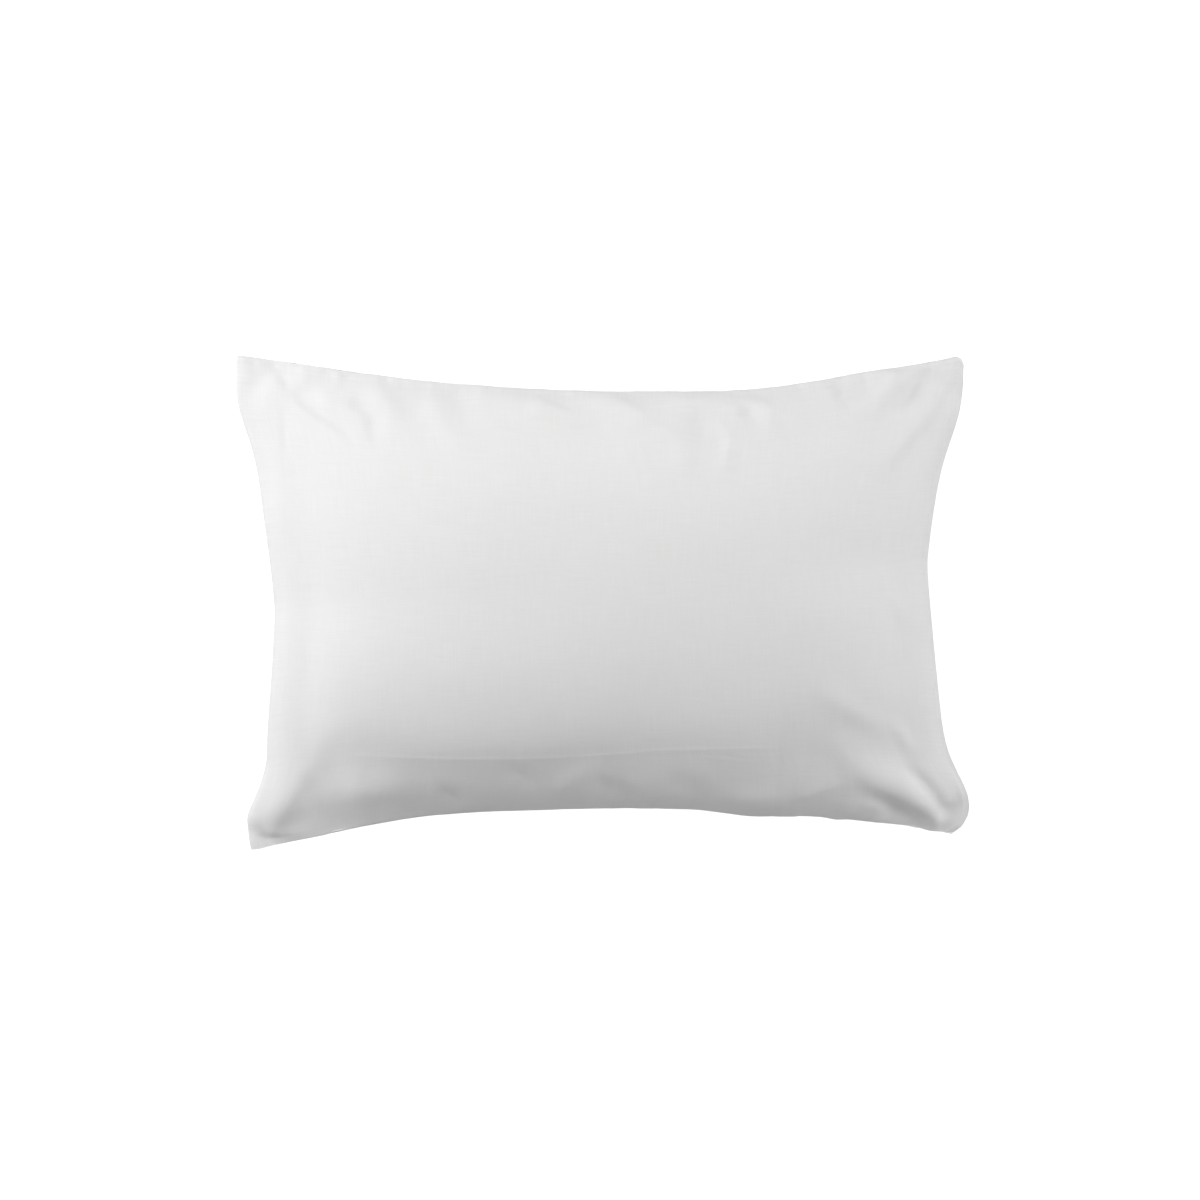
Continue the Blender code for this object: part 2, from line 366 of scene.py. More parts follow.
@dataclass(frozen=True)
class Outline:
    """The pillow's outline in plan, as it lies with its mouth to the right."""

    top: Edge = Edge(
        (-367.5, 251.0), (362.5, 247.0), -36.6, 2.83, 1.27,
        (Swell(0.874, 0.129, 10.7, 0.006),),
    )
    bottom: Edge = Edge(
        (-352.0, -251.0), (352.0, -235.5), 36.0, 2.38, 0.86,
        (Swell(0.718, 0.063, -4.4), Swell(0.10, 0.113, -7.1), Swell(0.832, 0.012, -1.5)),
    )
    closed_end: Edge = Edge(
        (-352.0, -251.0), (-367.5, 251.0), -32.5, 1.35, 0.95,
        (Swell(0.898, 0.081, 8.9), Swell(0.062, 0.052, 10.0), Swell(0.18, 0.035, -2.5)),
    )
    mouth: Edge = Edge(
        (352.0, -235.5), (362.5, 247.0), 30.8, 1.24, 1.22,
        (Swell(0.066, 0.088, -22.0, 0.05), Swell(0.898, 0.104, -10.3, 0.006)),
    )

    def move(self, rim: dict[str, Array], u_lines: Array, v_lines: Array) -> Array:
        """How far each place on the cloth moves in plan to bring its rim onto this outline.

        Args:
            rim: Where the rim's four sides are now, by name.
            u_lines: The net's lines along the pillow.
            v_lines: The net's lines across it.

        Returns:
            The moves, (u, v, 2).
        """
        along, across = (u_lines + 1) / 2, (v_lines + 1) / 2
        top = self.top.points(along) - rim["top"]
        bottom = self.bottom.points(along) - rim["bottom"]
        left = self.closed_end.points(across) - rim["closed_end"]
        right = self.mouth.points(across) - rim["mouth"]
        s, t = along[:, None, None], across[None, :, None]
        between_sides = bottom[:, None] * (1 - t) + top[:, None] * t
        between_ends = left[None] * (1 - s) + right[None] * s
        corners = (bottom[0] * (1 - t) + top[0] * t) * (1 - s) + (bottom[-1] * (1 - t) + top[-1] * t) * s
        return between_sides + between_ends - corners


# ---------------------------------------------------------------- the form


@dataclass
class SewnBag:
    """The case as a flat bag of two cut panels, blown up by cloth simulation until it is full.

    Attributes:
        length: The cut, from the closed end to the mouth.
        width: The cut, from seam to seam.
        cells: The net's cells along and across.
        frames: How long the simulation runs.
        start_rise: How high the front starts above the seam, and the back below it.
        pressure: The filling's push.
        volume: What the filling takes up, in cubic metres.
        seam_draw: How much the stitching draws the side seams together.
    """

    length: float = CASE_CUT[1]
    width: float = CASE_CUT[0]
    cells: tuple[int, int] = (126, 84)
    frames: int = 16
    start_rise: float = 0.092
    pressure: float = 0.7
    volume: float = 0.0350
    seam_draw: float = 0.030

    def start_nets(self) -> tuple[Array, Array]:
        """The two panels already filled out, where the simulation starts.

        Returns:
            The front and back nets.
        """
        u = np.linspace(-1.0, 1.0, self.cells[0] + 1)[:, None]
        v = np.linspace(-1.0, 1.0, self.cells[1] + 1)[None, :]
        full = (1 - np.abs(u) ** 2.6) ** 0.75 * (1 - np.abs(v) ** 2.6) ** 0.75
        x = u * (0.3675 - 0.036 * (1 - np.abs(v) ** 1.6))
        y = v * (0.249 - 0.039 * (1 - np.abs(u) ** 1.6))
        nets = []
        for seed, side in ((3, Side.FRONT), (8, Side.BACK)):
            uneven = 0.003 * ripples(seed, (19, 13), u[:, 0], v[0])
            z = side.value * (self.start_rise * full) + uneven * np.sqrt(full)
            nets.append(np.stack([x + 0 * z, y + 0 * z, z], axis=-1))
        return nets[0], nets[1]

    def fill(self) -> tuple[Array, Array]:
        """Blows the bag up.

        Returns:
            The front and back nets as the cloth settled, sharing their rim.
        """
        front, back = self.start_nets()
        columns, rows = front.shape[:2]
        inner = np.zeros((columns, rows), bool)
        inner[1:-1, 1:-1] = True
        front_index = np.arange(columns * rows).reshape(columns, rows)
        back_index = front_index.copy()
        back_index[inner] = columns * rows + np.arange(inner.sum())
        flat_x = np.linspace(-0.5, 0.5, columns)[:, None] * self.length + np.zeros((1, rows))
        flat_y = np.linspace(-0.5, 0.5, rows)[None, :] * self.width + np.zeros((columns, 1))
        flat = np.stack([flat_x, flat_y, 0.0005 * inner], axis=-1)
        start = np.concatenate([front.reshape(-1, 3), back[inner]])
        flat = np.concatenate([flat.reshape(-1, 3), flat[inner] * (1, 1, -1)])
        quads = []
        for index, order in ((front_index, (0, 1, 2, 3)), (back_index, (3, 2, 1, 0))):
            ring = [index[:-1, :-1], index[1:, :-1], index[1:, 1:], index[:-1, 1:]]
            quads.append(np.stack([ring[k] for k in order], axis=-1).reshape(-1, 4))
        mesh = bpy.data.meshes.new("sewn_bag")
        mesh.from_pydata(start.tolist(), [], np.concatenate(quads).tolist())
        bag = bpy.data.objects.new("sewn_bag", mesh)
        bpy.context.scene.collection.objects.link(bag)
        settled = self.settle(bag, flat, front_index)
        bpy.data.objects.remove(bag)
        bpy.data.meshes.remove(mesh)
        return settled[front_index], settled[back_index]

    def settle(self, bag: bpy.types.Object, flat: Array, rim: Array) -> Array:
        """Runs the cloth simulation on the bag.

        Args:
            bag: The bag's object.
            flat: Where each of its points lies in the flat cut.
            rim: The net of point numbers, whose top and bottom rows are the side seams.

        Returns:
            Where the points settled.
        """
        bag.shape_key_add(name="filled")
        cut = bag.shape_key_add(name="flat_cut")
        cut.data.foreach_set("co", flat.astype(np.float32).ravel())
        cut.value = 0.0
        seams = bag.vertex_groups.new(name="seams")
        # The stitched sides draw up fully, the folded ends half as much.
        seams.add(np.concatenate([rim[:, 0], rim[:, -1]]).tolist(), 1.0, "REPLACE")
        seams.add(np.concatenate([rim[0, 1:-1], rim[-1, 1:-1]]).tolist(), 0.5, "REPLACE")
        cloth = bag.modifiers.new("cotton", "CLOTH")
        settings = cloth.settings
        settings.rest_shape_key = cut
        filling = {"uniform_pressure_force": self.pressure, "target_volume": self.volume}
        for key, value in (COTTON | filling | {"shrink_max": self.seam_draw}).items():
            setattr(settings, key, value)
        settings.effector_weights.gravity = 0.0
        cloth.collision_settings.use_collision = False
        cloth.collision_settings.use_self_collision = False
        cloth.point_cache.frame_start = 1
        cloth.point_cache.frame_end = self.frames
        scene = bpy.context.scene
        for number in range(1, self.frames + 1):
            scene.frame_set(number)
        graph = bpy.context.evaluated_depsgraph_get()
        mesh = bag.evaluated_get(graph).to_mesh()
        settled = np.empty(len(mesh.vertices) * 3, np.float32)
        mesh.vertices.foreach_get("co", settled)
        bag.evaluated_get(graph).to_mesh_clear()
        scene.frame_set(1)
        return settled.reshape(-1, 3).astype(float)


@dataclass(frozen=True)
class Gathers:
    """Small gathers that a sewn seam draws into the cloth beside it.

    Attributes:
        seed: Which random run they follow.
        knots: How often they rise and fall along the seam, and across the cloth.
        height: How high they stand, in metres.
        reach: How far from the seam they die away, in metres.
    """

    seed: int
    knots: tuple[int, int]
    height: float
    reach: float

    def relief(self, side: Side, u_lines: Array, v_lines: Array, from_seam: Array) -> Array:
        """How far the gathers lift the cloth of one face; the back has its own run of them."""
        seed = self.seed + (0 if side is Side.FRONT else BACK_SEED)
        return self.height * ripples(seed, self.knots, u_lines, v_lines) * np.exp(-from_seam / self.reach)


@dataclass
class PillowForm:
    """The shape that every layer of the pillow follows.

    Attributes:
        bag: The sewn bag that gives the cloth its own shape.
        outline: Where its rim lies in plan.
        crown: How high the top of the pillow stands.
        seam_height: How high the side seams lie, at the middle of each side.
        corner_droop: How much lower the corners hang.
        base_round: How round the edge of the part is that presses on the bed.
        thinnest: How far apart the panels stand at least, away from the rim.
        slide: How far the case has slid round the insert, from bottom to top.
        stack: The depth of all the layers on one face; they lie closer where the pillow is thin.
        gathers: The fine and the broad gathers beside the side seams.
        bottom_gathers: How strong the gathers are on the bottom side, where 1 is the top side's strength.
        seam_ridge: How far the turned edges lift the cloth beside a side seam.
        flap_stitch_line: Where the flap's hem stitching shows, in millimetres in plan.
        flap_step: How far the tuck flap lifts the front panel.
        hem_step: How far the front panel drops again past the flap's hem.
        folds: The folds on each face.
    """

    bag: SewnBag = field(default_factory=SewnBag)
    outline: Outline = field(default_factory=Outline)
    crown: float = 0.180
    seam_height: float = 0.080
    corner_droop: float = 0.030
    base_round: float = 0.004
    thinnest: float = 0.006
    slide: float = 0.003
    stack: float = 0.007
    gathers: tuple[Gathers, ...] = (
        Gathers(11, (111, 2), 0.0024, 0.009),
        Gathers(23, (53, 3), 0.0018, 0.022),
    )
    bottom_gathers: float = 0.35
    seam_ridge: float = 0.0007
    flap_stitch_line: Sequence[tuple[float, float]] = (
        (198, 300), (183, 170), (197, 58), (199, -70), (197, -196), (190, -300)
    )
    flap_step: float = 0.00050
    hem_step: float = 0.00045
    folds: dict[Side, list[Fold]] = field(default_factory=dict)

    def __post_init__(self) -> None:
        """Fills the bag and brings it to the pillow's outline and height."""
        filled = self.bag.fill()
        columns, rows = filled[0].shape[:2]
        u_lines, v_lines = np.linspace(-1, 1, columns), np.linspace(-1, 1, rows)
        placed = self.placed(filled, u_lines, v_lines)
        self.nets: dict[Side, Array] = self.slid_round(placed, u_lines, v_lines)

    def margins(self, u_lines: Array, v_lines: Array) -> tuple[Array, Array, Array]:
        """How far along the cloth each place lies from the rim.

        Args:
            u_lines: Lines along the pillow.
            v_lines: Lines across it.

        Returns:
            The lengths to the nearer end, to the bottom seam and to the top seam.
        """
        from_ends = (1 - np.abs(u_lines))[:, None] * self.bag.length / 2
        from_bottom, from_top = ((1 + way * v_lines)[None, :] * self.bag.width / 2 for way in (1, -1))
        return from_ends, from_bottom, from_top

    def calmed(self, nets: Sequence[Array], u_lines: Array, v_lines: Array) -> list[Array]:
        """Calms the bag's own gathers along each rim but not across it, so the sides stay as round.

        Args:
            nets: The filled bag's front and back.
            u_lines: Lines along the pillow.
            v_lines: Lines across it.

        Returns:
            The calmed front and back, with the rim as it was.
        """
        from_ends, from_bottom, from_top = self.margins(u_lines, v_lines)
        along_share = 0.35 + 0.65 * smooth_step(from_top, 0.020, 0.080)
        along_share = smooth_step(from_ends, 0.012, 0.060) * along_share
        across_share = smooth_step(np.minimum(from_top, from_bottom), 0.015, 0.080)
        calmed = []
        for net in nets:
            one = blur(net, 1.0)
            one = one + (blur(one, 8.0, axes=(0,)) - one) * along_share[..., None]
            one = one + (blur(one, 7.0, axes=(1,)) - one) * across_share[..., None]
            for edge in ((0, slice(None)), (-1, slice(None)), (slice(None), 0), (slice(None), -1)):
                one[edge] = net[edge]
            calmed.append(one)
        return calmed

    def placed(
        self, nets: Sequence[Array], u_lines: Array, v_lines: Array
    ) -> dict[Side, Array]:
        """Brings the filled bag to the pillow's outline and height, and keeps its panels apart.

        Args:
            nets: The filled bag's front and back.
            u_lines: Lines along the pillow.
            v_lines: Lines across it.

        Returns:
            The net of each face.
        """
        plan = nets[0][..., :2]
        rim = {"top": plan[:, -1], "bottom": plan[:, 0], "closed_end": plan[0], "mouth": plan[-1]}
        move = self.outline.move(rim, u_lines, v_lines)
        shaped = self.calmed(nets, u_lines, v_lines)
        top_rise = (self.crown - self.seam_height) / shaped[0][..., 2].max()
        droop = self.corner_droop * np.abs(u_lines[:, None] * v_lines[None, :]) ** 2.5
        placed = {}
        for side, net in zip(Side, shaped):
            height = self.seam_height + net[..., 2] * top_rise - droop
            placed[side] = np.concatenate([net[..., :2] + move, height[..., None]], axis=-1)
        # The two panels never pass through each other where the corners run thin.
        from_ends, from_bottom, from_top = self.margins(u_lines, v_lines)
        away = np.minimum(from_ends, np.minimum(from_bottom, from_top))
        least = self.thinnest * smooth_step(away, 0.0, 0.012)
        short = np.maximum(0.0, least - (placed[Side.FRONT] - placed[Side.BACK])[..., 2]) / 2
        placed[Side.FRONT][..., 2] += short
        placed[Side.BACK][..., 2] -= short
        return placed

    def slid_round(
        self, placed: dict[Side, Array], u_lines: Array, v_lines: Array
    ) -> dict[Side, Array]:
        """Slides the case a little round the insert, as a made-up pillow's case has.

        The top seam then shows, and the bottom seam and the closed end's fold have rolled under.

        Args:
            placed: The net of each face.
            u_lines: Lines along the pillow.
            v_lines: Lines across it.

        Returns:
            The net of each face once it has slid.
        """
        start = -1 - RIM_ROWS * 2 / (len(u_lines) - 1)
        slid = self.slide / (self.bag.length / 2) * (1 - smooth_step(u_lines, -1.0, -0.7))
        rolled = {}
        for side in Side:
            loop = np.concatenate([placed[side.other][RIM_ROWS:0:-1], placed[side]], axis=0)
            at = u_lines - slid * side.value
            rolled[side] = resample(loop, (at - start) / (1 - start) * 2 - 1, v_lines)
        reach = 1 + RIM_ROWS * 2 / (len(v_lines) - 1)
        slid = self.slide / (self.bag.width / 2)
        nets = {}
        for side in Side:
            other = rolled[side.other]
            loop = [other[:, RIM_ROWS:0:-1], rolled[side], other[:, -2 : -RIM_ROWS - 2 : -1]]
            at = (v_lines - slid * side.value) / reach
            nets[side] = resample(np.concatenate(loop, axis=1), u_lines, at)
        return nets

    def relief(self, side: Side, plan: Array) -> Array:
        """How far the folds of one face move each place in plan outwards, in metres."""
        total = np.zeros(plan.shape[:-1])
        for fold in self.folds.get(side, []):
            total += fold.relief(plan)
        return total

    def puckers(self, side: Side, u_lines: Array, v_lines: Array) -> Array:
        """The side seams' turned edges and their fine gathers.

        Args:
            side: Which face.
            u_lines: Lines along the pillow.
            v_lines: Lines across it.

        Returns:
            How far each place stands out, in metres.
        """
        from_seam = (1 - np.abs(v_lines))[None, :] * self.bag.width / 2
        near_end = 1 - smooth_step(np.abs(u_lines), 0.93, 1.0)[:, None]
        gathers = sum(one.relief(side, u_lines, v_lines, from_seam) for one in self.gathers) * near_end
        gathers = gathers * np.where(v_lines > 0, 1.0, self.bottom_gathers)[None, :]
        ridge = self.seam_ridge * (1 - smooth_step(from_seam, 0.0040, 0.0080))
        return smooth_step(from_seam, 0.0, 0.0012) * (ridge + gathers)

    def hem_shows(self, plan: Array) -> Array:
        """How the tuck flap and its hem stand through the front panel that lies over them.

        Args:
            plan: Plan places, (..., 2).

        Returns:
            How far each place stands out, in metres.
        """
        from_stitch, _ = distance_to_line(plan, smooth_line(self.flap_stitch_line))
        flap = smooth_step(from_stitch, -0.0225, -0.0185)
        hem = smooth_step(from_stitch, -0.0015, 0.0015)
        return self.flap_step * flap - self.hem_step * hem

    def face(
        self, side: Side, u_lines: Array, v_lines: Array, depth: float | Depth = 0.0
    ) -> Array:
        """One layer of cloth on one face of the pillow.

        Args:
            side: Which face.
            u_lines: Lines along the pillow.
            v_lines: Lines across it.
            depth: How deep the layer lies, as a number or by its place.

        Returns:
            Its points at each crossing.
        """
        net = resample(self.nets[side], u_lines, v_lines)
        relief = self.relief(side, net[..., :2])
        if side is Side.FRONT:
            relief = relief + self.hem_shows(net[..., :2])
        from_ends, from_bottom, from_top = self.margins(u_lines, v_lines)
        away = np.minimum(from_ends, np.minimum(from_bottom, from_top))
        relief = relief * smooth_step(away, 0.0, 0.006)
        net = net + normals_of(net, side) * relief[..., None]
        # Puckers stand straight up, so they ripple the cloth beside the seam without ruffling the outline.
        net[..., 2] += self.puckers(side, u_lines, v_lines) * side.value
        deep = depth(u_lines[:, None], v_lines[None, :]) if callable(depth) else depth
        room = np.linalg.norm(net - resample(self.nets[side.other], u_lines, v_lines), axis=-1)
        deep = deep * np.minimum(1.0, room / (2 * self.stack))
        net = net - normals_of(net, side) * deep[..., None]
        return self.rested(net, deep)

    def rested(self, net: Array, deep: Array) -> Array:
        """Presses flat what would sink into the bed.

        Args:
            net: Points of a layer.
            deep: How deep the layer lies inside the case.

        Returns:
            The same points, none of them lower than the layer may lie.
        """
        height = net[..., 2] - deep
        rounded = (height + self.base_round) ** 2 / (4 * self.base_round)
        pressed = np.where(height < -self.base_round, 0.0, rounded)
        pressed = np.where(height > self.base_round, height, pressed)
        return np.concatenate([net[..., :2], (pressed + deep)[..., None]], axis=-1)


# ---------------------------------------------------------------- finishes


def linear(code: str) -> tuple[float, float, float, float]:
    """Turns an sRGB hex colour into the linear one that Blender works in.

    Args:
        code: Six hex digits.

    Returns:
        Linear red, green, blue and full alpha.
    """
    shares = [int(code[k : k + 2], 16) / 255 for k in (0, 2, 4)]
    red, green, blue = (s / 12.92 if s <= 0.04045 else ((s + 0.055) / 1.055) ** 2.4 for s in shares)
    return red, green, blue, 1.0


def add_node(
    tree: bpy.types.NodeTree,
    kind: str,
    inputs: dict | None = None,
    links: dict | None = None,
    **settings: object,
) -> bpy.types.Node:
    """Adds a shader node with its settings, its socket values and what is linked into it.

    Args:
        tree: The material's node tree.
        kind: Blender's name for the node, without the word that starts every shader node's name.
        inputs: Values by socket name or number.
        links: Output sockets by the name or number of the input they go to.
        **settings: The node's own settings.

    Returns:
        The node.
    """
    node = tree.nodes.new("ShaderNode" + kind)
    for name, value in settings.items():
        setattr(node, name, value)
    for name, value in (inputs or {}).items():
        node.inputs[name].default_value = value
    for name, socket in (links or {}).items():
        tree.links.new(socket, node.inputs[name])
    return node


def empty_material(name: str) -> bpy.types.Material:
    """Starts a material whose node tree is still empty."""
    made = bpy.data.materials.new(name)
    made.use_nodes = True
    made.node_tree.nodes.clear()
    return made


@dataclass(frozen=True)
class Finish:
    """What all the finishes share: a pattern that goes from one colour to another, in relief, with the darker
    colour painted where the relief lies low, as shade.

    Attributes:
        name: The material's common name.
        colour: Its colour, as sRGB hex.
        painted_shade: The darker colour painted into its hollows, as shade.
    """

    name: str
    colour: str
    painted_shade: str

    def surface(
        self,
        tree: bpy.types.NodeTree,
        tone: bpy.types.NodeSocket,
        height: bpy.types.NodeSocket,
        relief: dict[str, float],
        gloss: dict[str, float],
    ) -> None:
        """Paints shade on the surface by a pattern's tone, raises it by its height and gives it its gloss.

        Args:
            tree: The material's node tree.
            tone: 0 where the painted shade shows and 1 where the colour does.
            height: The pattern's height.
            relief: How strongly the height shows, and over what distance.
            gloss: The shader's own values.
        """
        # The pattern's low places get the darker colour: this is painted shade in the hollows, not a colour
        # of the cloth.
        ends = {6: linear(self.painted_shade), 7: linear(self.colour)}
        colour = add_node(tree, "Mix", data_type="RGBA", inputs=ends, links={0: tone})
        bump = add_node(tree, "Bump", inputs=relief, links={"Height": height})
        sockets = {"Base Color": colour.outputs[2], "Normal": bump.outputs["Normal"]}
        shader = add_node(tree, "BsdfPrincipled", inputs=gloss, links=sockets)
        add_node(tree, "OutputMaterial", links={"Surface": shader.outputs[0]})


@dataclass(frozen=True)
class WovenCloth(Finish):
    """A woven cloth, drawn in the flat cut's own coordinates so that its threads follow the cloth.

    The eye gets a matt, slightly fuzzy white, faintly streaked by the thicker places in its yarns; where they
    lie low, the colour is painted darker as shade.

    Attributes:
        roughness: Matt cotton is near 0.9.
        sheen: The fuzz of loose fibre ends that catches light at the edges.
        thread: The spacing of the threads, in metres.
        slub_length: How long a thick place in a yarn runs, in metres.
        slub_width: How wide it shows, in metres.
        relief: How proud the slubs stand, in metres.
        weave_share: How high the weave stands beside the slubs.
        contrast: The sum of both slub patterns where the painted shade ends and where the colour starts.
    """

    roughness: float = 0.88
    sheen: float = 0.10
    thread: float = 0.0006
    slub_length: float = 0.038
    slub_width: float = 0.0013
    relief: float = 0.00006
    weave_share: float = 0.18
    contrast: tuple[float, float] = (0.7, 1.3)

    def material(self) -> bpy.types.Material:
        """Builds the cloth's material.

        Returns:
            The material.
        """
        made = empty_material(self.name)
        tree = made.node_tree
        cut = add_node(tree, "UVMap", uv_map="flat_cut").outputs["UV"]
        # Weft slubs run along the length, warp slubs across it.
        along, across = 1 / self.slub_length, 1 / self.slub_width
        noise = {"Scale": 1.0, "Detail": 2.0, "Roughness": 0.6}
        streaks = {}
        for number, scale in enumerate(((along, across, 1.0), (across, along, 1.0))):
            mapped = add_node(tree, "Mapping", inputs={"Scale": scale}, links={"Vector": cut})
            streak = add_node(tree, "TexNoise", inputs=noise, links={"Vector": mapped.outputs["Vector"]})
            streaks[number] = streak.outputs["Fac"]
        slubs = add_node(tree, "Math", operation="ADD", links=streaks).outputs[0]
        # The weave itself: one wave for the warp and one for the weft, a thread's spacing apart.
        spacing = {"Scale": 1 / (self.thread * WAVE_COARSE), "Distortion": 0.6}
        waves = {}
        for number, way in enumerate("XY"):
            wave = add_node(tree, "TexWave", bands_direction=way, inputs=spacing, links={"Vector": cut})
            waves[number] = wave.outputs["Fac"]
        weave = add_node(tree, "Math", operation="ADD", links=waves).outputs[0]
        height = add_node(
            tree, "Math", operation="MULTIPLY_ADD", inputs={1: self.weave_share}, links={0: weave, 2: slubs}
        )
        # The streaks vary at random, but the colour darkens where the slubs lie low, the same pattern that
        # sinks the relief: painted shade in its hollows.
        ends = dict(zip(("From Min", "From Max"), self.contrast))
        tone = add_node(tree, "MapRange", inputs=ends, links={"Value": slubs})
        gloss = {"Roughness": self.roughness, "Sheen Weight": self.sheen}
        gloss |= {"Sheen Roughness": 0.5, "Specular IOR Level": 0.25}
        relief = {"Strength": 1.0, "Distance": self.relief}
        self.surface(tree, tone.outputs[0], height.outputs[0], relief, gloss)
        return made


@dataclass(frozen=True)
class SpunThread(Finish):
    """Spun polyester sewing thread: fine plies twisted together, with a faint lustre; its colour is painted
    darker in bands between the plies, as shade.

    Attributes:
        twist: How far apart the turns of the twist lie, in metres.
        relief: How proud a ply stands, in metres.
    """

    twist: float = 0.0009
    relief: float = 0.00005

    def material(self) -> bpy.types.Material:
        """Builds the thread's material.

        Returns:
            The material.
        """
        made = empty_material(self.name)
        tree = made.node_tree
        place = add_node(tree, "TexCoord").outputs["Object"]
        turns = {"Scale": 1 / (self.twist * WAVE_COARSE), "Distortion": 0.4}
        plies = add_node(tree, "TexWave", bands_direction="DIAGONAL", inputs=turns, links={"Vector": place})
        relief = {"Strength": 0.6, "Distance": self.relief}
        gloss = {"Roughness": 0.55, "Sheen Weight": 0.15}
        # The twist's bands darken the colour between the plies as well as sinking them: painted shade.
        self.surface(tree, plies.outputs["Fac"], plies.outputs["Fac"], relief, gloss)
        return made


# In each finish below, the second colour is painted shade, laid in the hollows of its relief.
# Bleached cotton is matt and near white, with a soft edge of light from its fuzz.
CASE_COTTON = WovenCloth("plain-weave cotton, bleached white", "F4F4F4", "EFEFEE")
# Ticking is woven closer and left unbleached, so it looks smoother and a shade creamier.
TICKING_COTTON = WovenCloth(
    "cambric ticking, unbleached white", "F1EFE9", "E6E3DB", 0.8, 0.08, 0.0004, 0.02, 0.0008, 0.00004
)
# Label tape is woven from bright polyester, which gives it a low satin gloss.
LABEL_SATIN = WovenCloth(
    "woven polyester label tape, blank", "F7F7F5", "EDEDEA", 0.45, 0.2, 0.0003, 0.03, 0.0005, 0.00003
)
# Carded fibre has no weave: it is a very matt fluff with soft, deep lumps.
FIBRE = WovenCloth(
    "hollow polyester fibre, carded", "F6F6F4", "DADAD6", 0.95, 0.35, 0.0015, 0.012, 0.0035, 0.0008
)
# Thread takes a little more light than the cloth, so its stitches show as fine beads.
THREAD = SpunThread("spun polyester thread, white", "FAFAF9", "EFEFEC")


# ---------------------------------------------------------------- making pieces


@dataclass
class Workshop:
    """Makes pieces and gives them their finish, their body and the CAD solids they stand for."""

    finishes: dict[str, bpy.types.Material] = field(default_factory=dict)

    def dress(self, piece: bpy.types.Object, finish: WovenCloth | SpunThread, slot: str, *nodes: str) -> None:
        """Gives a piece its material and its place in the frame.

        Args:
            piece: The piece.
            finish: What it is made of.
            slot: The record's material slot; it is not used.
            *nodes: The CAD solids it stands for.
        """
        if finish.name not in self.finishes:
            self.finishes[finish.name] = finish.material()
        piece.data.materials.clear()
        piece.data.materials.append(self.finishes[finish.name])
        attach(piece, BODY)
        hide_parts(*nodes)
        LOG.info("%s: %d faces", piece.name, len(piece.data.polygons))

    def cloth(
        self, name: str, u_lines: Array, v_lines: Array, net: Array, thickness: float, side: Side
    ) -> bpy.types.Object:
        """Cuts a flat sheet, lays it along a net of points and gives it its thickness inwards.

        Args:
            name: The piece's name.
            u_lines: Lines along the cut, from -1 to 1.
            v_lines: Lines across it.
            net: Where each crossing lies, on the outer face.
            thickness: How thick the cloth is.
            side: Which way its outer face looks.

        Returns:
            The piece.
        """
        bpy.ops.object.select_all(action="DESELECT")
        columns, rows = len(u_lines), len(v_lines)
        bpy.ops.mesh.primitive_grid_add(
            x_subdivisions=columns - 1, y_subdivisions=rows - 1, size=2.0, calc_uvs=True, location=(0, 0, 0)
        )
        piece = bpy.context.object
        piece.name = piece.data.name = name
        mesh = piece.data
        place = np.empty(len(mesh.vertices) * 3, np.float32)
        mesh.vertices.foreach_get("co", place)
        place = place.reshape(-1, 3)
        column = np.rint((place[:, 0] + 1) / 2 * (columns - 1)).astype(int)
        row = np.rint((place[:, 1] + 1) / 2 * (rows - 1)).astype(int)
        mesh.vertices.foreach_set("co", net[column, row].astype(np.float32).ravel())
        corner = np.empty(len(mesh.loops), np.int32)
        mesh.loops.foreach_get("vertex_index", corner)
        half_width, half_length = CASE_CUT[0] / 2, CASE_CUT[1] / 2
        flat = np.stack([u_lines[column[corner]] * half_length, v_lines[row[corner]] * half_width], axis=-1)
        layer = mesh.uv_layers[0]
        layer.name = "flat_cut"
        layer.data.foreach_set("uv", flat.astype(np.float32).ravel())
        if side is Side.BACK:
            mesh.flip_normals()
        mesh.update()
        if thickness > 0:
            self.finish(piece, "SOLIDIFY", thickness=thickness, offset=-1.0, use_even_offset=False)
        bpy.ops.object.shade_smooth_by_angle(angle=math.radians(50))
        return piece

    def finish(self, piece: bpy.types.Object, kind: str, **settings: object) -> None:
        """Adds a modifier and applies it.

        Args:
            piece: The piece.
            kind: The modifier's kind.
            **settings: Its settings.
        """
        bpy.ops.object.select_all(action="DESELECT")
        piece.select_set(True)
        bpy.context.view_layer.objects.active = piece
        modifier = piece.modifiers.new(kind.lower(), kind)
        for key, value in settings.items():
            setattr(modifier, key, value)
        bpy.ops.object.modifier_apply(modifier=modifier.name)

    def thread(self, name: str, points: Array, radius: float) -> bpy.types.Object:
        """Lays a thread along points.

        Args:
            name: The piece's name.
            points: Where it runs, (n, 3).
            radius: Half its thickness.

        Returns:
            The piece.
        """
        bpy.ops.object.select_all(action="DESELECT")
        curve = bpy.data.curves.new(name, "CURVE")
        curve.dimensions = "3D"
        curve.bevel_depth = radius
        curve.bevel_resolution = 1
        curve.use_fill_caps = True
        spline = curve.splines.new("POLY")
        spline.points.add(len(points) - 1)
        places = np.column_stack([points, np.ones(len(points))])
        spline.points.foreach_set("co", places.astype(np.float32).ravel())
        piece = bpy.data.objects.new(name, curve)
        bpy.context.scene.collection.objects.link(piece)
        piece.select_set(True)
        bpy.context.view_layer.objects.active = piece
        bpy.ops.object.convert(target="MESH")
        piece = bpy.context.object
        piece.name = piece.data.name = name
        bpy.ops.object.shade_smooth_by_angle(angle=math.radians(60))
        return piece


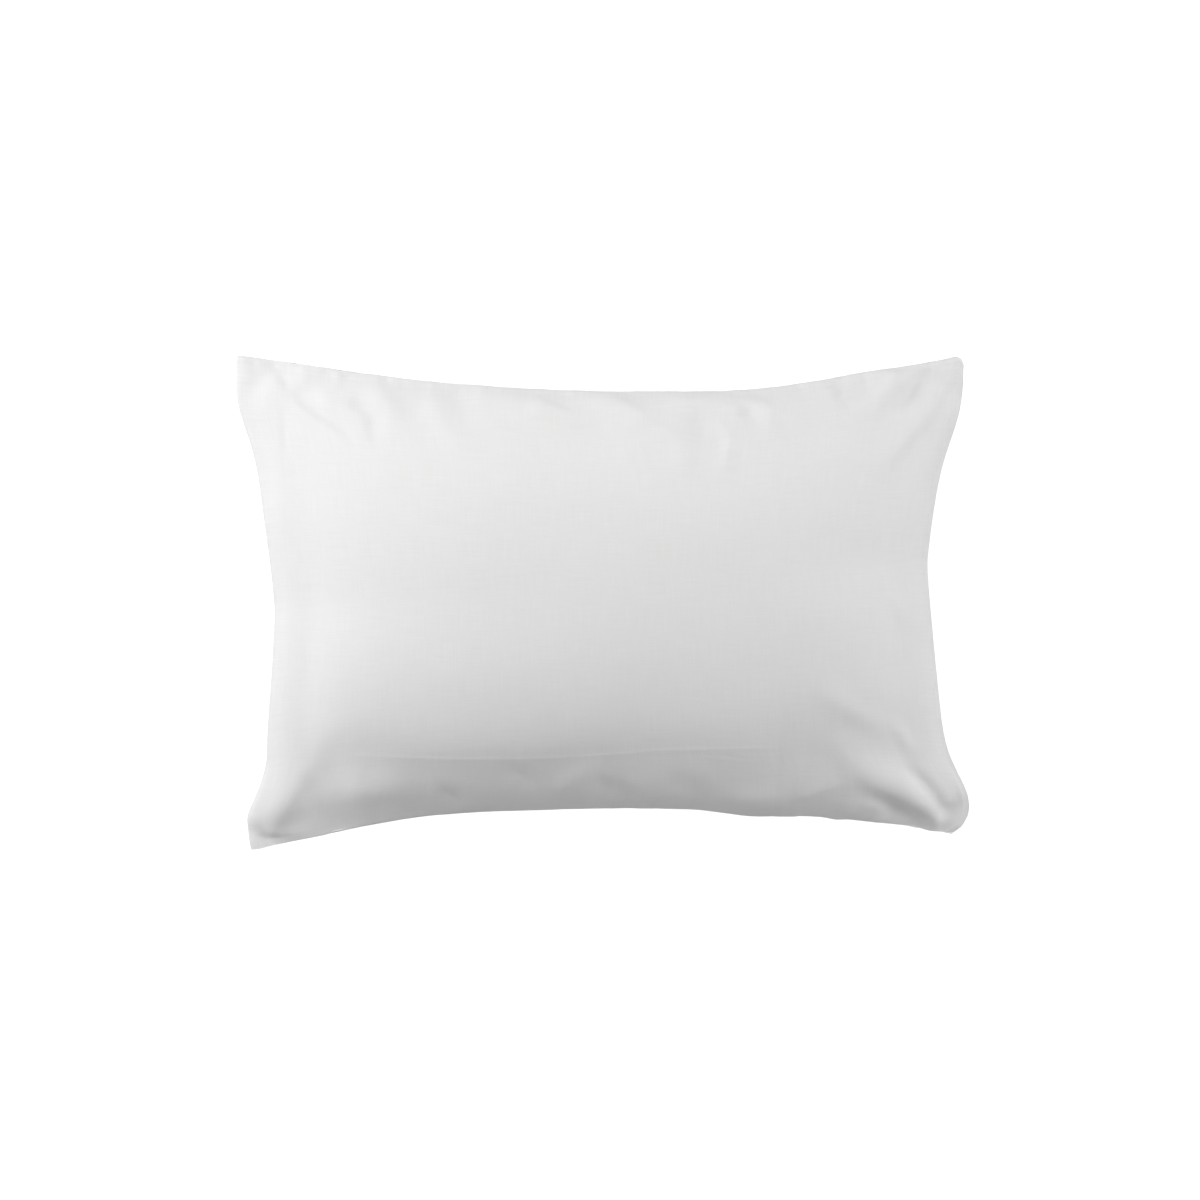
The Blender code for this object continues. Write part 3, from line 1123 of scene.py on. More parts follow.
def lines(start: float, end: float, size: float, step: float, *dense: tuple[float, float, float]) -> Array:
    """Lines across the cloth, close together where detail needs them.

    Args:
        start: The first line, from -1 to 1.
        end: The last one.
        size: What 1 stands for, in metres.
        step: The usual spacing, in metres.
        *dense: Where they lie closer, each as a place, a reach and a spacing there, in metres.

    Returns:
        The lines.
    """
    found = [start * size]
    while found[-1] < end * size:
        spacing = step
        for place, reach, close in dense:
            share = float(smooth_step(np.array(abs(found[-1] - place)), reach, reach * 3))
            spacing = min(spacing, close + (step - close) * share)
        found.append(found[-1] + spacing)
    places = np.array(found)
    places = start * size + (places - places[0]) * (end - start) * size / (places[-1] - places[0])
    return places / size


def stitched(path: Array, outward: Array, stitch: float, lift: float, sink: float) -> Array:
    """A lockstitch: the thread lies on the cloth for a stitch, then dives at the needle's hole.

    Args:
        path: Where the stitch line runs on the cloth, (n, 3).
        outward: The cloth's normals there.
        stitch: The length of a stitch.
        lift: How high the thread's middle lies on the cloth.
        sink: How deep it goes at a hole.

    Returns:
        The thread's points.
    """
    lengths = np.concatenate([[0.0], np.cumsum(np.linalg.norm(np.diff(path, axis=0), axis=1))])
    count = max(2, round(lengths[-1] / stitch))
    phases = np.array([0.0, 0.12, 0.3, 0.5, 0.7, 0.88])
    at = (np.arange(count)[:, None] + phases[None, :]).ravel() / count * lengths[-1]
    at = np.append(at, lengths[-1])
    height = np.tile(np.array([-sink, lift * 0.4, lift, lift * 1.1, lift, lift * 0.4]), count)
    height = np.append(height, -sink)
    place = np.stack([np.interp(at, lengths, path[:, k]) for k in range(3)], axis=-1)
    normal = np.stack([np.interp(at, lengths, outward[:, k]) for k in range(3)], axis=-1)
    return place + normal * height[:, None]


# ---------------------------------------------------------------- the case


@dataclass
class HousewifeCase:
    """The cotton case: two panels, a tuck flap, turned side seams, hems, stitching and a label.

    Attributes:
        form: The pillow's shape.
        shop: What makes the pieces.
        cloth: The cotton's thickness.
        fold_proud: How far the mouth's fold stands outside the front panel's edge.
        mouth_hem: The front panel's narrow hem.
        flap_depth: The flap, from the fold to its free edge.
        flap_hem: The flap's hem.
        allowance: The side seams' turned-in edges.
        stitch: The length of a stitch.
        thread_radius: Half the thread's thickness.
        press_crease: Where on the cloth the press crease runs, its reach, and the net's spacing there.
        front_step: The front panel's usual net spacing.
        back_step: The back panel's.
        flap_step: The flap's.
        flap_under: How deep the flap lies under the front panel's face.
        edge_roll: How far the front panel's edge rolls under at the mouth.
        overlock: The thickness of a seam's turned-in edges, sewn together.
        label_place: How far from the closed end the label's middle lies.
    """

    form: PillowForm
    shop: Workshop
    cloth: float = 0.0005
    fold_proud: float = 0.004
    mouth_hem: float = 0.006
    flap_depth: float = 0.170
    flap_hem: float = 0.020
    allowance: float = 0.007
    stitch: float = 0.0027
    thread_radius: float = 0.00013
    press_crease: tuple[float, float, float] = (-0.166, 0.010, 0.0012)
    front_step: float = 0.0034
    back_step: float = 0.0038
    flap_step: float = 0.0040
    flap_under: float = 0.0015
    edge_roll: float = 0.0008
    overlock: float = 0.0012
    label_place: float = 0.150

    @property
    def half_length(self) -> float:
        """Half the cut's length."""
        return self.form.bag.length / 2

    @property
    def half_width(self) -> float:
        """Half the cut's width."""
        return self.form.bag.width / 2

    def from_mouth(self, length: float) -> float:
        """The u of a line that lies a length of cloth inside the mouth's fold."""
        return 1.0 - length / self.half_length

    def across_lines(self, step: float, *dense: tuple[float, float, float]) -> Array:
        """Lines from seam to seam, closer beside the seams.

        Args:
            step: The usual spacing.
            *dense: Other places where they lie closer, each a place, a reach and a spacing.

        Returns:
            The lines.
        """
        edge = self.half_width
        return lines(-1.0, 1.0, edge, step, (-edge, 0.008, 0.0010), (edge, 0.008, 0.0010), *dense)

    def build(self) -> None:
        """Makes every piece of the case."""
        front = self.front_panel()
        back = self.back_panel()
        flap = self.tuck_flap()
        hems = self.hems()
        self.side_seams()
        self.stitch_rows()
        self.label()

    def front_panel(self) -> bpy.types.Object:
        """The panel that faces up, from the closed end's fold to its hemmed edge at the mouth.

        Returns:
            The piece.
        """
        edge = self.from_mouth(self.fold_proud)
        near_edge = (edge * self.half_length, 0.005, 0.0010)
        u_lines = lines(-1.0, edge, self.half_length, self.front_step, near_edge)
        v_lines = self.across_lines(self.front_step, self.press_crease)

        def turned(u: Array, v: Array) -> Array:
            """The edge rolls under as its hem turns in."""
            inside = (edge - u) * self.half_length
            return self.edge_roll * (1 - smooth_step(inside, -0.0001, 0.0014)) ** 2 + 0 * v

        net = self.form.face(Side.FRONT, u_lines, v_lines, turned)
        piece = self.shop.cloth("front_panel", u_lines, v_lines, net, self.cloth, Side.FRONT)
        self.shop.dress(piece, CASE_COTTON, "case_cotton", "case_front_panel")
        return piece

    def back_panel(self) -> bpy.types.Object:
        """The panel that lies on the bed, from the closed end's fold to the mouth's fold.

        Returns:
            The piece.
        """
        u_lines = lines(-1.0, 1.0, self.half_length, self.back_step)
        v_lines = self.across_lines(self.back_step)
        net = self.form.face(Side.BACK, u_lines, v_lines)
        piece = self.shop.cloth("back_panel", u_lines, v_lines, net, self.cloth, Side.BACK)
        self.shop.dress(piece, CASE_COTTON, "case_cotton", "case_back_panel")
        return piece

    def flap_layer(self, u: Array, v: Array) -> Array:
        """How deep the flap lies: at the surface on the fold, then under the front panel and its hem."""
        inside = (1 - u) * self.half_length
        return self.flap_under * smooth_step(inside, 0.0, 2.5 * self.fold_proud) + 0 * v

    def tuck_flap(self) -> bpy.types.Object:
        """The flap that runs on from the back panel's fold, in under the front panel and over the insert.

        Returns:
            The piece.
        """
        free_edge, at_fold = self.from_mouth(self.flap_depth), (self.half_length, 0.005, 0.0009)
        u_lines = lines(free_edge, 1.0, self.half_length, self.flap_step, at_fold)
        v_lines = self.across_lines(self.flap_step)
        net = self.form.face(Side.FRONT, u_lines, v_lines, self.flap_layer)
        piece = self.shop.cloth("tuck_flap", u_lines, v_lines, net, self.cloth, Side.FRONT)
        self.shop.dress(piece, CASE_COTTON, "case_cotton", "case_tuck_flap")
        return piece

    def hems(self) -> list[bpy.types.Object]:
        """The front panel's narrow hem at the mouth and the flap's wide one.

        Returns:
            The mouth hem and the flap hem.
        """
        made = []
        inner_edge = self.fold_proud + self.mouth_hem
        for name, node, first, last, deep in (
            ("mouth_hem", "case_mouth_hem", inner_edge, self.fold_proud + 0.0008, 0.0006),
            ("flap_hem", "case_flap_hem", self.flap_depth, self.flap_depth - self.flap_hem, 0.0022),
        ):
            u_lines = lines(self.from_mouth(first), self.from_mouth(last), self.half_length, 0.0022)
            v_lines = lines(-0.985, 0.985, self.half_width, 0.005)
            net = self.form.face(Side.FRONT, u_lines, v_lines, deep)
            piece = self.shop.cloth(name, u_lines, v_lines, net, 2 * self.cloth - 0.0002, Side.FRONT)
            self.shop.dress(piece, CASE_COTTON, "case_cotton", node)
            made.append(piece)
        return made

    def seam_frame(self, v: float, inset: float, count: int) -> tuple[Array, Array, Array]:
        """Points beside a side seam, with the directions inwards and upwards there.

        Args:
            v: 1 for the top seam, -1 for the bottom one.
            inset: How far inside the seam.
            count: How many points.

        Returns:
            The points, and unit vectors inwards and upwards.
        """
        u_lines = np.linspace(-0.95, 0.95, count)
        v_lines = np.array(sorted((v, v * 0.93)))
        edge, inner = (1, 0) if v > 0 else (0, 1)
        front = self.form.face(Side.FRONT, u_lines, v_lines)
        back = self.form.face(Side.BACK, u_lines, v_lines)
        inwards = (front[:, inner] + back[:, inner]) / 2 - front[:, edge]
        inwards = blur(inwards, 6.0, axes=(0,))
        inwards /= np.linalg.norm(inwards, axis=-1, keepdims=True)
        run = np.gradient(front[:, edge], axis=0)
        upwards = np.cross(run, inwards)
        upwards /= np.linalg.norm(upwards, axis=-1, keepdims=True)
        upwards *= np.sign(upwards[:, 2:3])
        return front[:, edge] + inwards * inset, inwards, upwards

    def side_seams(self) -> None:
        """The four turned-in edges of each side seam, overlocked together inside the case."""
        for name, node, v in (
            ("top_seam_edges", "case_top_seam", 1.0),
            ("bottom_seam_edges", "case_bottom_seam", -1.0),
        ):
            start, inwards, upwards = self.seam_frame(v, 0.0028, 241)
            v_lines = np.linspace(-1.0, 1.0, 5)
            share = ((v_lines + 1) / 2 if v < 0 else (1 - v_lines) / 2)[None, :, None]
            waver = 0.0005 * np.sin(np.linspace(0.0, 240.0, len(start)))[:, None, None]
            net = start[:, None] + inwards[:, None] * (self.allowance * share + waver * share)
            net = net + upwards[:, None] * (self.overlock / 2)
            u_lines = np.linspace(-0.95, 0.95, len(start))
            piece = self.shop.cloth(name, u_lines, v_lines, net, self.overlock, Side.FRONT)
            self.shop.dress(piece, CASE_COTTON, "case_cotton", node)

    def stitch_rows(self) -> None:
        """The seams' and hems' lockstitches."""
        for name, node, v in (
            ("top_seam_stitching", "top_seam_stitch", 1.0),
            ("bottom_seam_stitching", "bottom_seam_stitch", -1.0),
        ):
            path, _, upwards = self.seam_frame(v, 0.0038, 301)
            points = stitched(path + upwards * 0.0006, upwards, self.stitch, 0.00015, 0.0004)
            piece = self.shop.thread(name, points, self.thread_radius)
            self.shop.dress(piece, THREAD, "white_thread", node)
        v_lines = np.linspace(-0.975, 0.975, 260)
        for name, node, inside, deep in (
            ("mouth_hem_stitching", "mouth_hem_stitch", self.fold_proud + self.mouth_hem - 0.0015, 0.0),
            ("flap_hem_stitching", "flap_hem_stitch", self.flap_depth - self.flap_hem + 0.0015, 0.0021),
        ):
            u_lines = self.from_mouth(inside) + np.array([-0.002, 0.0, 0.002])
            net = self.form.face(Side.FRONT, u_lines, v_lines, deep)
            normal = normals_of(net, Side.FRONT)
            points = stitched(net[1], normal[1], self.stitch, 0.00008, 0.0003)
            piece = self.shop.thread(name, points, self.thread_radius)
            self.shop.dress(piece, THREAD, "white_thread", node)

    def label(self) -> None:
        """The blank care label, sewn into the bottom seam inside the case and lying on the back panel."""
        middle = -1.0 + self.label_place / self.half_length
        half = LABEL_CUT[0] / 2 / self.half_length
        u_lines = np.linspace(middle - half, middle + half, 11)
        v_lines = np.linspace(-0.955, -0.955 + LABEL_CUT[1] / self.half_width, 9)
        net = self.form.face(Side.BACK, u_lines, v_lines, 0.0010)
        piece = self.shop.cloth("case_label", u_lines, v_lines, net, 0.0003, Side.BACK)
        self.shop.dress(piece, LABEL_SATIN, "woven_label", "case_care_label")


# ---------------------------------------------------------------- the insert


@dataclass
class FibreInsert:
    """The pillow inside the case: fibre filling in a ticking cover with its seams, stitching and label.

    Attributes:
        form: The pillow's shape.
        shop: What makes the pieces.
        ticking: The ticking's thickness.
        inset: How far its edge lies inside the case's.
        depth: How deep its front and back lie under the case's surface.
        half_size: Half its length and width, by which its net is spaced.
        step: The usual spacing of its net.
        allowance: The width of its turned-in edges.
        overlock: Their thickness, sewn together.
        rim_points: How many points a line along its rim has.
        gap: Between which of them the gap for the filling was sewn shut.
        label_place: How far from the bottom seam the label's middle lies.
        lump: How uneven the fibre lies.
    """

    form: PillowForm
    shop: Workshop
    ticking: float = 0.0006
    inset: float = 0.013
    depth: dict[Side, float] = field(default_factory=lambda: {Side.FRONT: 0.0042, Side.BACK: 0.0012})
    half_size: tuple[float, float] = (0.36, 0.24)
    step: float = 0.0075
    allowance: float = 0.007
    overlock: float = 0.0012
    rim_points: int = 121
    gap: tuple[int, int] = (48, 73)
    label_place: float = 0.110
    lump: float = 0.0012

    def reach(self, inset: float) -> tuple[float, float]:
        """The u and v of a line that lies a length inside the case's edge, all round."""
        return 1 - inset / (self.form.bag.length / 2), 1 - inset / (self.form.bag.width / 2)

    def layer(self, side: Side, a: Array, b: Array, inset: float, extra: float) -> Array:
        """One face of the insert, closing on the seam plane at its own edge.

        Args:
            side: Which face.
            a: Lines along the insert, from -1 to 1 at its own edges.
            b: Lines across it.
            inset: How far its edge lies inside the case's.
            extra: How much deeper than the ticking it lies.

        Returns:
            Its points.
        """
        u_reach, v_reach = self.reach(inset)
        u_lines, v_lines = a * u_reach, b * v_reach
        faces = {one: self.form.face(one, u_lines, v_lines, self.depth[one] + extra) for one in Side}
        middle = (faces[Side.FRONT] + faces[Side.BACK]) / 2
        open_share = ((1 - np.abs(a[:, None]) ** 40) * (1 - np.abs(b[None, :]) ** 28)) ** 0.5
        return middle + (faces[side] - middle) * open_share[..., None]

    def build(self) -> None:
        """Makes every piece of the insert."""
        a, b = (
            lines(-1.0, 1.0, half, self.step, (-half, 0.010, 0.002), (half, 0.010, 0.002))
            for half in self.half_size
        )
        for side, name, node in (
            (Side.FRONT, "ticking_front", "ticking_front_panel"),
            (Side.BACK, "ticking_back", "ticking_back_panel"),
        ):
            net = self.layer(side, a, b, self.inset, 0.0)
            piece = self.shop.cloth(name, a, b, net, self.ticking, side)
            self.shop.dress(piece, TICKING_COTTON, "ticking_cotton", node)
        self.seams()
        self.closing_stitch()
        self.label()
        self.filling()

    def rim(self, name: str, inset: float, count: int) -> tuple[Array, Array]:
        """A line just inside one side of the insert's rim, and the way inwards.

        Args:
            name: Which side: top, bottom, plain or filling.
            inset: How far inside the case's edge.
            count: How many points.

        Returns:
            The points and the directions inwards.
        """
        run = np.linspace(-0.94, 0.94, count)
        ends = {"top": (None, 1.0), "bottom": (None, -1.0), "plain": (-1.0, None), "filling": (1.0, None)}
        u_end, v_end = ends[name]
        reached = []
        for share in (1.0, 0.96):
            a = run if u_end is None else np.array([u_end * share * 0.9999, u_end * share])
            b = run if v_end is None else np.array([v_end * share * 0.9999, v_end * share])
            pick = -1 if 1.0 in (u_end, v_end) else 0
            a, b = np.sort(a), np.sort(b)
            net = (self.layer(Side.FRONT, a, b, inset, 0.0) + self.layer(Side.BACK, a, b, inset, 0.0)) / 2
            reached.append(net[:, pick] if u_end is None else net[pick])
        inwards = reached[1] - reached[0]
        return reached[0], inwards / np.linalg.norm(inwards, axis=-1, keepdims=True)

    def seams(self) -> None:
        """The ticking's turned-in edges on all four sides."""
        for name, node in (
            ("top", "ticking_top_seam"),
            ("bottom", "ticking_bottom_seam"),
            ("plain", "ticking_plain_end_seam"),
            ("filling", "ticking_filling_end_seam"),
        ):
            start, inwards = self.rim(name, self.inset + 0.0015, self.rim_points)
            share = np.linspace(0.0, 1.0, 4)[None, :, None]
            net = start[:, None] + inwards[:, None] * (self.allowance * share)
            side = Side.FRONT if name in ("bottom", "filling") else Side.BACK
            net = net + np.array([0, 0, side.value * self.overlock / 2])
            along, across = np.linspace(-0.9, 0.9, self.rim_points), np.linspace(-0.02, 0.02, 4)
            piece = self.shop.cloth(f"ticking_{name}_edges", along, across, net, self.overlock, side)
            self.shop.dress(piece, TICKING_COTTON, "ticking_cotton", node)

    def closing_stitch(self) -> None:
        """The line of stitching that shuts the gap the filling went in by."""
        start, inwards = self.rim("filling", self.inset - 0.0004, self.rim_points)
        middle = (start - inwards * 0.0002)[slice(*self.gap)]
        up = np.tile(np.array([0.0, 0.0, 1.0]), (len(middle), 1))
        points = stitched(middle, up, 0.003, 0.0003, 0.0003)
        piece = self.shop.thread("closing_stitching", points, 0.0002)
        self.shop.dress(piece, THREAD, "white_thread", "ticking_closing_stitch")

    def label(self) -> None:
        """The insert's own blank label, lying on the back of the ticking by its plain end."""
        u_reach, _ = self.reach(self.inset + 0.012)
        half = LABEL_CUT[0] / 2 / (self.form.bag.width / 2)
        middle = -1.0 + self.label_place / (self.form.bag.width / 2)
        v_lines = np.linspace(middle - half, middle + half, 11)
        u_lines = np.linspace(-u_reach, -u_reach + LABEL_CUT[1] / (self.form.bag.length / 2), 9)
        net = self.form.face(Side.BACK, u_lines, v_lines, 0.0007)
        piece = self.shop.cloth("ticking_label", u_lines, v_lines, net, 0.0003, Side.BACK)
        self.shop.dress(piece, LABEL_SATIN, "woven_label", "ticking_care_label")

    def filling(self) -> None:
        """The fibre, a soft lumpy mass that fills the ticking."""
        a = np.linspace(-1.0, 1.0, 121)
        b = np.linspace(-1.0, 1.0, 83)
        halves = []
        for side, seed in ((Side.FRONT, 31), (Side.BACK, 32)):
            net = self.layer(side, a, b, self.inset + 0.010, 0.0012)
            inner = smooth_step(np.minimum(1 - np.abs(a[:, None]), 1 - np.abs(b[None, :])), 0.0, 0.12)
            lumps = (ripples(seed, (41, 29), a, b) - 1.0) * self.lump * inner
            net = net + normals_of(net, side) * lumps[..., None]
            halves.append(self.shop.cloth(f"fibre_{side.name.lower()}", a, b, net, 0.0, side))
        bpy.ops.object.select_all(action="DESELECT")
        for half in halves:
            half.select_set(True)
        bpy.context.view_layer.objects.active = halves[0]
        bpy.ops.object.join()
        piece = bpy.context.object
        bpy.ops.object.mode_set(mode="EDIT")
        bpy.ops.mesh.select_all(action="SELECT")
        bpy.ops.mesh.remove_doubles(threshold=0.00002)
        bpy.ops.mesh.normals_make_consistent(inside=False)
        bpy.ops.object.mode_set(mode="OBJECT")
        piece.name = piece.data.name = "fibre_fill"
        self.shop.dress(piece, FIBRE, "fibre_filling", "filling")


# ---------------------------------------------------------------- the studio


@dataclass(frozen=True)
class Softbox:
    """A large soft light.

    Attributes:
        azimuth: Where it stands round the pillow, in degrees from +x towards +y.
        elevation: How high it stands, in degrees.
        power: Its power in watts.
        size: Its width.
        distance: How far off it stands.
    """

    azimuth: float
    elevation: float
    power: float
    size: float = 1.6
    distance: float = 3.0

    def place(self, name: str) -> None:
        """Puts the light in the scene.

        Args:
            name: Its name.
        """
        bpy.ops.object.select_all(action="DESELECT")
        turn, rise = math.radians(self.azimuth), math.radians(self.elevation)
        way = Vector((math.cos(turn) * math.cos(rise), math.sin(turn) * math.cos(rise), math.sin(rise)))
        lamp = bpy.data.lights.new(name, "AREA")
        lamp.shape = "SQUARE"
        lamp.size = self.size
        lamp.energy = self.power
        stand = bpy.data.objects.new(name, lamp)
        stand.location = way * self.distance
        stand.rotation_euler = (-way).to_track_quat("-Z", "Y").to_euler()
        bpy.context.scene.collection.objects.link(stand)


@dataclass
class Studio:
    """A plain pale floor, soft lights and a camera straight above the pillow.

    Attributes:
        softboxes: The lights by name; most of the light comes from the upper left.
        camera_height: How high the camera stands.
        camera_place: Where it stands in plan.
        focal_length: Its lens, in millimetres.
        floor_glow: How much light of its own the floor sends to the lens.
        air: The light that comes evenly from all round.
        floor_radius: How far the floor runs before it sweeps up.
    """

    softboxes: dict[str, Softbox] = field(
        default_factory=lambda: {
            "key upper left": Softbox(135.0, 35.0, 23.2),
            "high left": Softbox(135.0, 60.0, 15.9),
            "high top": Softbox(90.0, 60.0, 15.2),
            "top strip": Softbox(90.0, 12.0, 4.5),
            "left strip": Softbox(183.0, 12.0, 30.5),
            "right strip": Softbox(358.0, 12.0, 29.5),
            "right fill": Softbox(0.0, 35.0, 8.9),
        }
    )
    camera_height: float = 3.08
    camera_place: tuple[float, float] = (-0.0005, 0.002)
    focal_length: float = 90.0
    floor_glow: float = 0.85
    air: float = 0.205
    floor_radius: float = 6.0

    def floor(self) -> None:
        """The pale floor that the pillow lies on, which sweeps up into a wall far off all round."""
        bpy.ops.object.select_all(action="DESELECT")
        bpy.ops.mesh.primitive_circle_add(
            vertices=96, radius=self.floor_radius, fill_type="NGON", location=(0, 0, 0)
        )
        floor = bpy.context.object
        floor.name = "floor"
        bpy.ops.object.mode_set(mode="EDIT")
        bpy.ops.mesh.select_all(action="SELECT")
        for outward, upward in ((0.6, 0.1), (0.5, 0.35), (0.35, 0.6), (0.1, 0.8), (0.0, 6.0)):
            bpy.ops.mesh.extrude_edges_move(TRANSFORM_OT_translate={"value": (0, 0, upward)})
            spread = 1 + outward / (self.floor_radius + outward)
            bpy.ops.transform.resize(value=(spread, spread, 1))
        bpy.ops.object.mode_set(mode="OBJECT")
        bpy.ops.object.shade_smooth()
        # Matt paper: an even white without gloss. It glows a little as well, so it looks white all over,
        # yet keeps the shade where the pillow touches it.
        made = empty_material("matt white paper sweep")
        tree = made.node_tree
        paper = add_node(tree, "BsdfDiffuse", inputs={"Color": linear("E8E8E8"), "Roughness": 0.5})
        seen = add_node(tree, "LightPath").outputs["Is Camera Ray"]
        glow = {1: self.floor_glow}
        strength = add_node(tree, "Math", operation="MULTIPLY", inputs=glow, links={0: seen})
        light = add_node(
            tree, "Emission", inputs={"Color": (1, 1, 1, 1)}, links={"Strength": strength.outputs[0]}
        )
        mixed = add_node(tree, "AddShader", links={0: paper.outputs[0], 1: light.outputs[0]})
        add_node(tree, "OutputMaterial", links={"Surface": mixed.outputs[0]})
        floor.data.materials.append(made)

    def build(self) -> None:
        """Sets up the floor, the lights and the camera."""
        self.floor()
        for name, softbox in self.softboxes.items():
            softbox.place(name)
        scene = bpy.context.scene
        world = bpy.data.worlds.new("studio air")
        world.use_nodes = True
        background = world.node_tree.nodes["Background"]
        background.inputs["Color"].default_value = (1, 1, 1, 1)
        background.inputs["Strength"].default_value = self.air
        scene.world = world
        lens = bpy.data.cameras.new("camera")
        lens.lens = self.focal_length
        lens.sensor_width = 36.0
        camera = bpy.data.objects.new("camera", lens)
        camera.location = (*self.camera_place, self.camera_height)
        scene.collection.objects.link(camera)
        scene.camera = camera
        scene.view_settings.view_transform = "Standard"


# ---------------------------------------------------------------- folds of this pillow

